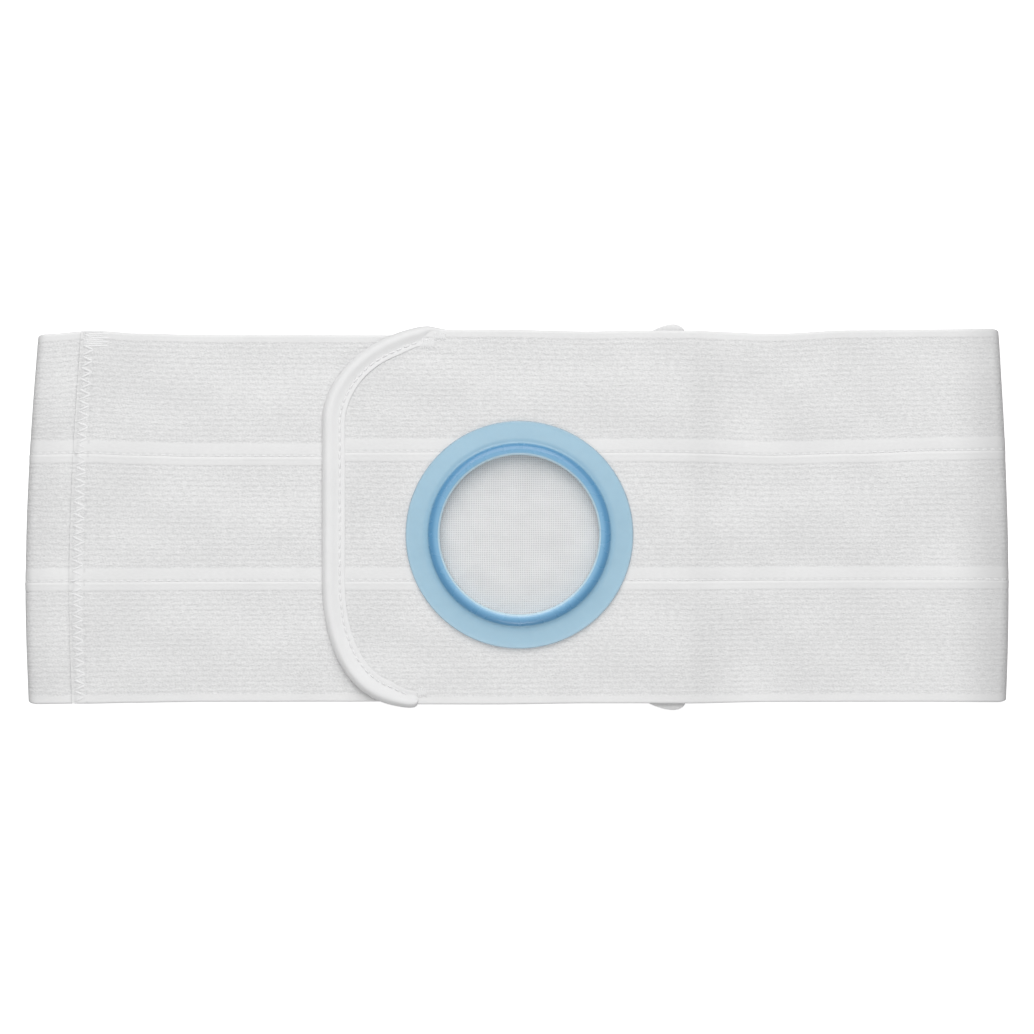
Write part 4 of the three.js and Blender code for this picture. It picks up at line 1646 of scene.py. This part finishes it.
@dataclass
class UnderlapBinding:
    """The tape folded over the underlap's end, whose folded corners stand out past the belt's edges."""

    drape: Drape
    peak: float = 64.7 * MM
    tape: float = 0.85 * MM
    nose: float = 1.1 * MM
    ear_thickness: float = 2.6 * MM
    upper: Ear = Ear(4.6 * MM)
    lower: Ear = Ear(3.6 * MM)
    rows: int = 150
    sharp: float = 55.0
    round_share: float = 0.09

    def section(self) -> Array:
        """The tape's section: share of the way from its folded to its inner edge, height, and slot."""
        nose = 1 - np.cos(np.linspace(0, math.pi / 2, 7))
        part = self.round_share
        outer = np.concatenate([nose * part, np.linspace(part, 0.97, 16)[1:], [1.0]])
        height = np.sqrt(1 - (1 - np.clip(outer / part, 0, 1)) ** 2)
        height[-1] = 0.86
        upper = np.stack([outer, height, np.zeros_like(outer)], -1)
        slot = np.array([[1.0, 0.5, 1.0], [0.1, 0.5, 1.0], [0.1, -0.5, 1.0], [1.0, -0.5, 1.0]])
        lower = upper[::-1][:-1] * np.array([1, -1, 1])
        return np.concatenate([upper, slot, lower])

    def build(self) -> None:
        """Builds the tape row by row, from its lower ear to its upper one."""
        drape = self.drape
        low, high = drape.box["underlap_binding"]
        top, bottom = drape.edges(np.array([drape.end_tape]), drape.underlap_edges)[:2]
        edge = {1: drape.half_width * float(top[0]), -1: drape.half_width * float(bottom[0])}
        lower, upper = self.lower, self.upper
        y = np.linspace(-edge[-1], edge[1], self.rows)
        spread = np.sin(np.linspace(0, math.pi / 2, 26))[1:]
        y = np.concatenate([-edge[-1] - lower.reach * spread[::-1], y, edge[1] + upper.reach * spread])
        out = np.where(y > 0, (y - edge[1]) / upper.reach, (-y - edge[-1]) / lower.reach)
        t = np.clip(out, 0, 0.9985)
        left = self.peak - (self.peak - drape.end_tape_inner) * (1 - t) ** upper.left_bend
        right = self.peak + (drape.end_tape - self.peak) * (1 - t**2) ** upper.right_bend
        slope = smooth(out * 6)
        half_height = (high[2] - low[2]) / 2 * (1 - slope) + self.ear_thickness / 2 * slope
        half_height = half_height * (1 - 0.75 * np.clip(out, 0, 1) ** 6)
        slot_half = (drape.half + drape.gap * 0.8) * (1 - slope) + 0.12 * MM * slope
        slot_half = np.minimum(slot_half, half_height - 0.25 * MM)
        section = self.section()
        x = right[:, None] + (left - right)[:, None] * section[None, :, 0]
        plain = section[None, :, 1] * half_height[:, None]
        inside = np.sign(section[None, :, 1]) * slot_half[:, None]
        z = drape.end_level + np.where(section[None, :, 2] > 0, inside, plain)
        wide = np.broadcast_to(y[:, None], x.shape)
        points = np.stack([x + drape.shift[0], wide + drape.shift[1], z], axis=-1)
        rows, columns = x.shape
        faces = loop_faces(rows, columns, closed=False)[:, ::-1].tolist()
        faces += [face[::-1] for face in end_faces(rows, columns)]
        places = np.stack([wide, x], axis=-1).reshape(-1, 2)
        piece = make_object("underlap_binding_tape", points, faces, places, self.sharp)
        finish = TapeFinish("end_tape_twill", stitch_pitch=1.8 * MM)
        seat(piece, finish.material(), "tape", "underlap_binding")
        flat = (2.2 * float(high[0] - low[0]), float(high[1] - low[1]))


@dataclass
class BeltRing:
    """The blue ring: a flange on the front, a rounded bead, a collar and a lip behind the elastic."""

    drape: Drape
    inner: float = 33.0 * MM
    bead: float = 4.8 * MM
    bead_height: float = 3.0 * MM
    flange: float = 47.2 * MM
    flange_thickness: float = 1.0 * MM
    collar: float = 1.7 * MM
    lip: float = 4.0 * MM
    lip_thickness: float = 1.0 * MM
    cone_inner: float = 0.45 * MM
    cone_outer: float = -0.25 * MM
    crown_skew: float = 1.3
    curl: float = 0.75 * MM
    sides: int = 256

    def profile(self) -> Array:
        """The ring's half section, as radius and height, anticlockwise."""
        low, high = (float(corner[2]) for corner in self.drape.box["belt_ring"])
        flange_top = high - self.bead_height
        flange_low = flange_top - self.flange_thickness
        rim = self.flange_thickness / 2
        outer_wall = self.inner + self.collar
        turn = np.linspace(-math.pi / 2, math.pi / 2, 9)
        edge_height = flange_low + rim + self.cone_outer * (turn + math.pi / 2) / math.pi
        edge = np.stack([self.flange - rim + rim * np.cos(turn), edge_height + rim * np.sin(turn)], -1)
        foot = np.linspace(0, 1, 9)[:-1]
        inner_top = flange_top + self.cone_inner
        fillet = np.stack(
            [self.inner + self.bead + 1.3 * MM * (1 - foot), inner_top + 0.35 * MM * foot**2.4], -1
        )
        arch = np.linspace(0.13, 1, 26) * math.pi
        along = (0.5 + 0.5 * np.sign(np.cos(arch)) * np.abs(np.cos(arch)) ** 0.85) ** self.crown_skew
        rise = np.sin(arch) ** 0.8
        crown = np.stack([self.inner + self.bead * along, inner_top + (high - inner_top) * rise], -1)
        start = np.array(
            [
                [self.inner, low],
                [outer_wall + self.lip, low],
                [outer_wall + self.lip, low + self.lip_thickness],
                [outer_wall, low + self.lip_thickness],
                [outer_wall, flange_low],
            ]
        )
        ripple = np.linspace(self.flange - rim, self.inner + self.bead + 1.3 * MM, 14)[1:-1]
        share = (ripple - ripple[0]) / (ripple[-1] - ripple[0])
        slope = self.cone_outer + (self.cone_inner - self.cone_outer) * share
        flat = np.stack([ripple, flange_top + slope + 0.04 * MM * np.sin(ripple / (1.9 * MM))], -1)
        return np.concatenate([start, edge, flat, fillet, crown])

    def build(self) -> None:
        """Turns the profile round the ring's axis."""
        profile = self.profile()
        angle = TURN * np.arange(self.sides) / self.sides
        start = self.inner + self.bead
        reach = smooth((profile[:, 0] - start) / (self.flange - start))
        below = smooth(-np.sin(angle))
        ring = np.stack(
            [
                self.drape.ring_centre[0] + profile[None, :, 0] * np.cos(angle)[:, None],
                self.drape.ring_centre[1] + profile[None, :, 0] * np.sin(angle)[:, None],
                profile[None, :, 1] + self.curl * below[:, None] * reach[None],
            ],
            axis=-1,
        )
        faces = loop_faces(self.sides, len(profile), closed=True)[:, ::-1].tolist()
        piece = make_object("belt_ring_soft_plastic", ring, faces, sharp=55)
        finish = RingFinish(
            "ring_translucent_blue",
            centre=(float(self.drape.ring_centre[0]), float(self.drape.ring_centre[1])),
            opening=self.inner,
            flange_start=self.inner + self.bead,
            flange_end=self.flange,
        )
        seat(piece, finish.material(), "ring", "belt_ring")


@dataclass
class FlatPatch:
    """A flat patch of cloth that follows a height along the belt."""

    drape: Drape
    node: str
    name: str
    slot: str
    sway: float
    steps: int = 60
    thickness: float = 1.0 * MM

    def build(self, finish: bpy.types.Material, height: Callable[[Array], Array] | None = None) -> None:
        """Builds the patch over its solid.

        Args:
            finish: its material.
            height: the height that its middle follows along x, if it isn't flat.
        """
        low, high = self.drape.box[self.node]
        x, y = np.meshgrid(
            np.linspace(low[0], high[0], self.steps),
            np.linspace(low[1], high[1], self.steps),
            indexing="ij",
        )
        base = np.full_like(x, low[2]) if height is None else height(x - self.drape.shift[0])
        wave = self.sway * np.sin(x / (8 * MM)) * np.cos(y / (9.5 * MM))
        upper = np.stack([x, y, base + self.thickness + wave - self.sway], axis=-1).reshape(-1, 3)
        lower = np.stack([x, y, base], axis=-1).reshape(-1, 3)
        count = self.steps
        grid = np.arange(count * count).reshape(count, count)
        quads = np.stack([grid[:-1, :-1], grid[1:, :-1], grid[1:, 1:], grid[:-1, 1:]], -1).reshape(-1, 4)
        rim = np.concatenate([grid[:-1, 0], grid[-1, :-1], grid[:0:-1, -1], grid[0, :0:-1]])
        after = np.roll(rim, -1)
        total = count * count
        sides = np.stack([rim, rim + total, after + total, after], axis=-1)
        faces = np.concatenate([quads, quads[:, ::-1] + total, sides])
        places = np.concatenate([lower[:, :2], lower[:, :2]])
        piece = make_object(self.name, np.concatenate([upper, lower]), faces.tolist(), places)
        seat(piece, finish, self.slot, self.node)
        size = high - low


@dataclass(frozen=True)
class SoftBox:
    """A square soft light that faces the belt."""

    name: str
    place: tuple[float, float, float]
    size: float
    power: float

    def hang(self) -> None:
        """Adds the light to the scene."""
        lamp = bpy.data.lights.new(self.name, "AREA")
        lamp.size = self.size
        lamp.energy = self.power
        made = bpy.data.objects.new(self.name, lamp)
        made.location = self.place
        made.rotation_euler = (-Vector(self.place)).to_track_quat("-Z", "Y").to_euler()
        bpy.context.scene.collection.objects.link(made)


@dataclass
class Studio:
    """The floor, the soft light and the camera above the belt."""

    frame_width: float = 429.1 * MM
    aim: tuple[float, float, float] = (0.0, -0.4 * MM, 4.4 * MM)
    distance: float = 2.5
    sensor: float = 36.0
    boxes: tuple[SoftBox, ...] = (
        SoftBox("key_light", (-0.08, 1.25, 1.5), 1.9, 33.0),
        SoftBox("fill_light", (0.0, -1.35, 1.3), 1.0, 4.0),
        SoftBox("low_light", (0.0, -1.75, 0.85), 0.35, 3.0),
    )
    sky: float = 0.47
    ground: float = 0.20

    def build(self) -> None:
        """Sets up the floor, the light and the camera."""
        half = 6.0
        corners = np.array([[-half, -half, 0], [half, -half, 0], [half, half, 0], [-half, half, 0]])
        floor = make_object("floor", corners, [[0, 1, 2, 3]])
        floor.data.materials.append(FloorFinish("pale_floor").material())
        floor.visible_diffuse = False
        for box in self.boxes:
            box.hang()
        self.world()
        self.camera()
        scene = bpy.context.scene
        scene.view_settings.view_transform = "Standard"
        scene.view_settings.look = "None"

    def world(self) -> None:
        """Lights the scene evenly from above, and less from below the horizon."""
        world = bpy.data.worlds.new("soft_sky")
        world.use_nodes = True
        nodes = Nodes(world.node_tree)
        _, _, up = nodes.axes(nodes.add("ShaderNodeTexCoord").outputs["Generated"])
        strength = self.ground + up.ramp(-0.12, 0.12) * (self.sky - self.ground)
        sky = nodes.add("ShaderNodeBackground", {}, {"Color": (1.0, 1.0, 1.0, 1.0), "Strength": strength})
        nodes.add("ShaderNodeOutputWorld", {}, {"Surface": sky.outputs[0]})
        bpy.context.scene.world = world

    def camera(self) -> None:
        """Looks straight down at the belt, with its top edge up."""
        lens = bpy.data.cameras.new("camera")
        lens.sensor_width = self.sensor
        lens.lens = self.sensor * self.distance / self.frame_width
        lens.clip_end = 50
        made = bpy.data.objects.new("camera", lens)
        made.location = Vector(self.aim) + Vector((0, 0, self.distance))
        bpy.context.scene.collection.objects.link(made)
        bpy.context.scene.camera = made


def main() -> None:
    """Builds the belt's pieces in order, and reports each."""
    logging.basicConfig(level=logging.INFO, format="%(name)s: %(message)s")
    drape = Drape()
    flap = Flap(drape)
    strips = ElasticStrips(drape, flap)
    strips.build()
    SeamStitching(drape, strips).build()
    SpliceStitching(drape).build()
    FlapBinding(drape, flap).build()
    UnderlapBinding(drape).build()
    BeltRing(drape).build()
    centre = (float(drape.ring_centre[0]), float(drape.ring_centre[1]))
    mesh = MeshFinish("mesh_patch_weave", centre).material()
    FlatPatch(drape, "mesh_patch", "mesh_patch_cloth", "mesh", 0.12 * MM).build(mesh)
    hook_drop = drape.half + drape.gap + 1.0 * MM
    FlatPatch(drape, "hook_strip", "hook_strip_tape", "hook", 0.0, 24).build(
        HookFinish("hook_tape").material(), lambda x: drape.front(x) - hook_drop
    )
    Studio().build()


if __name__ == "__main__":
    main()
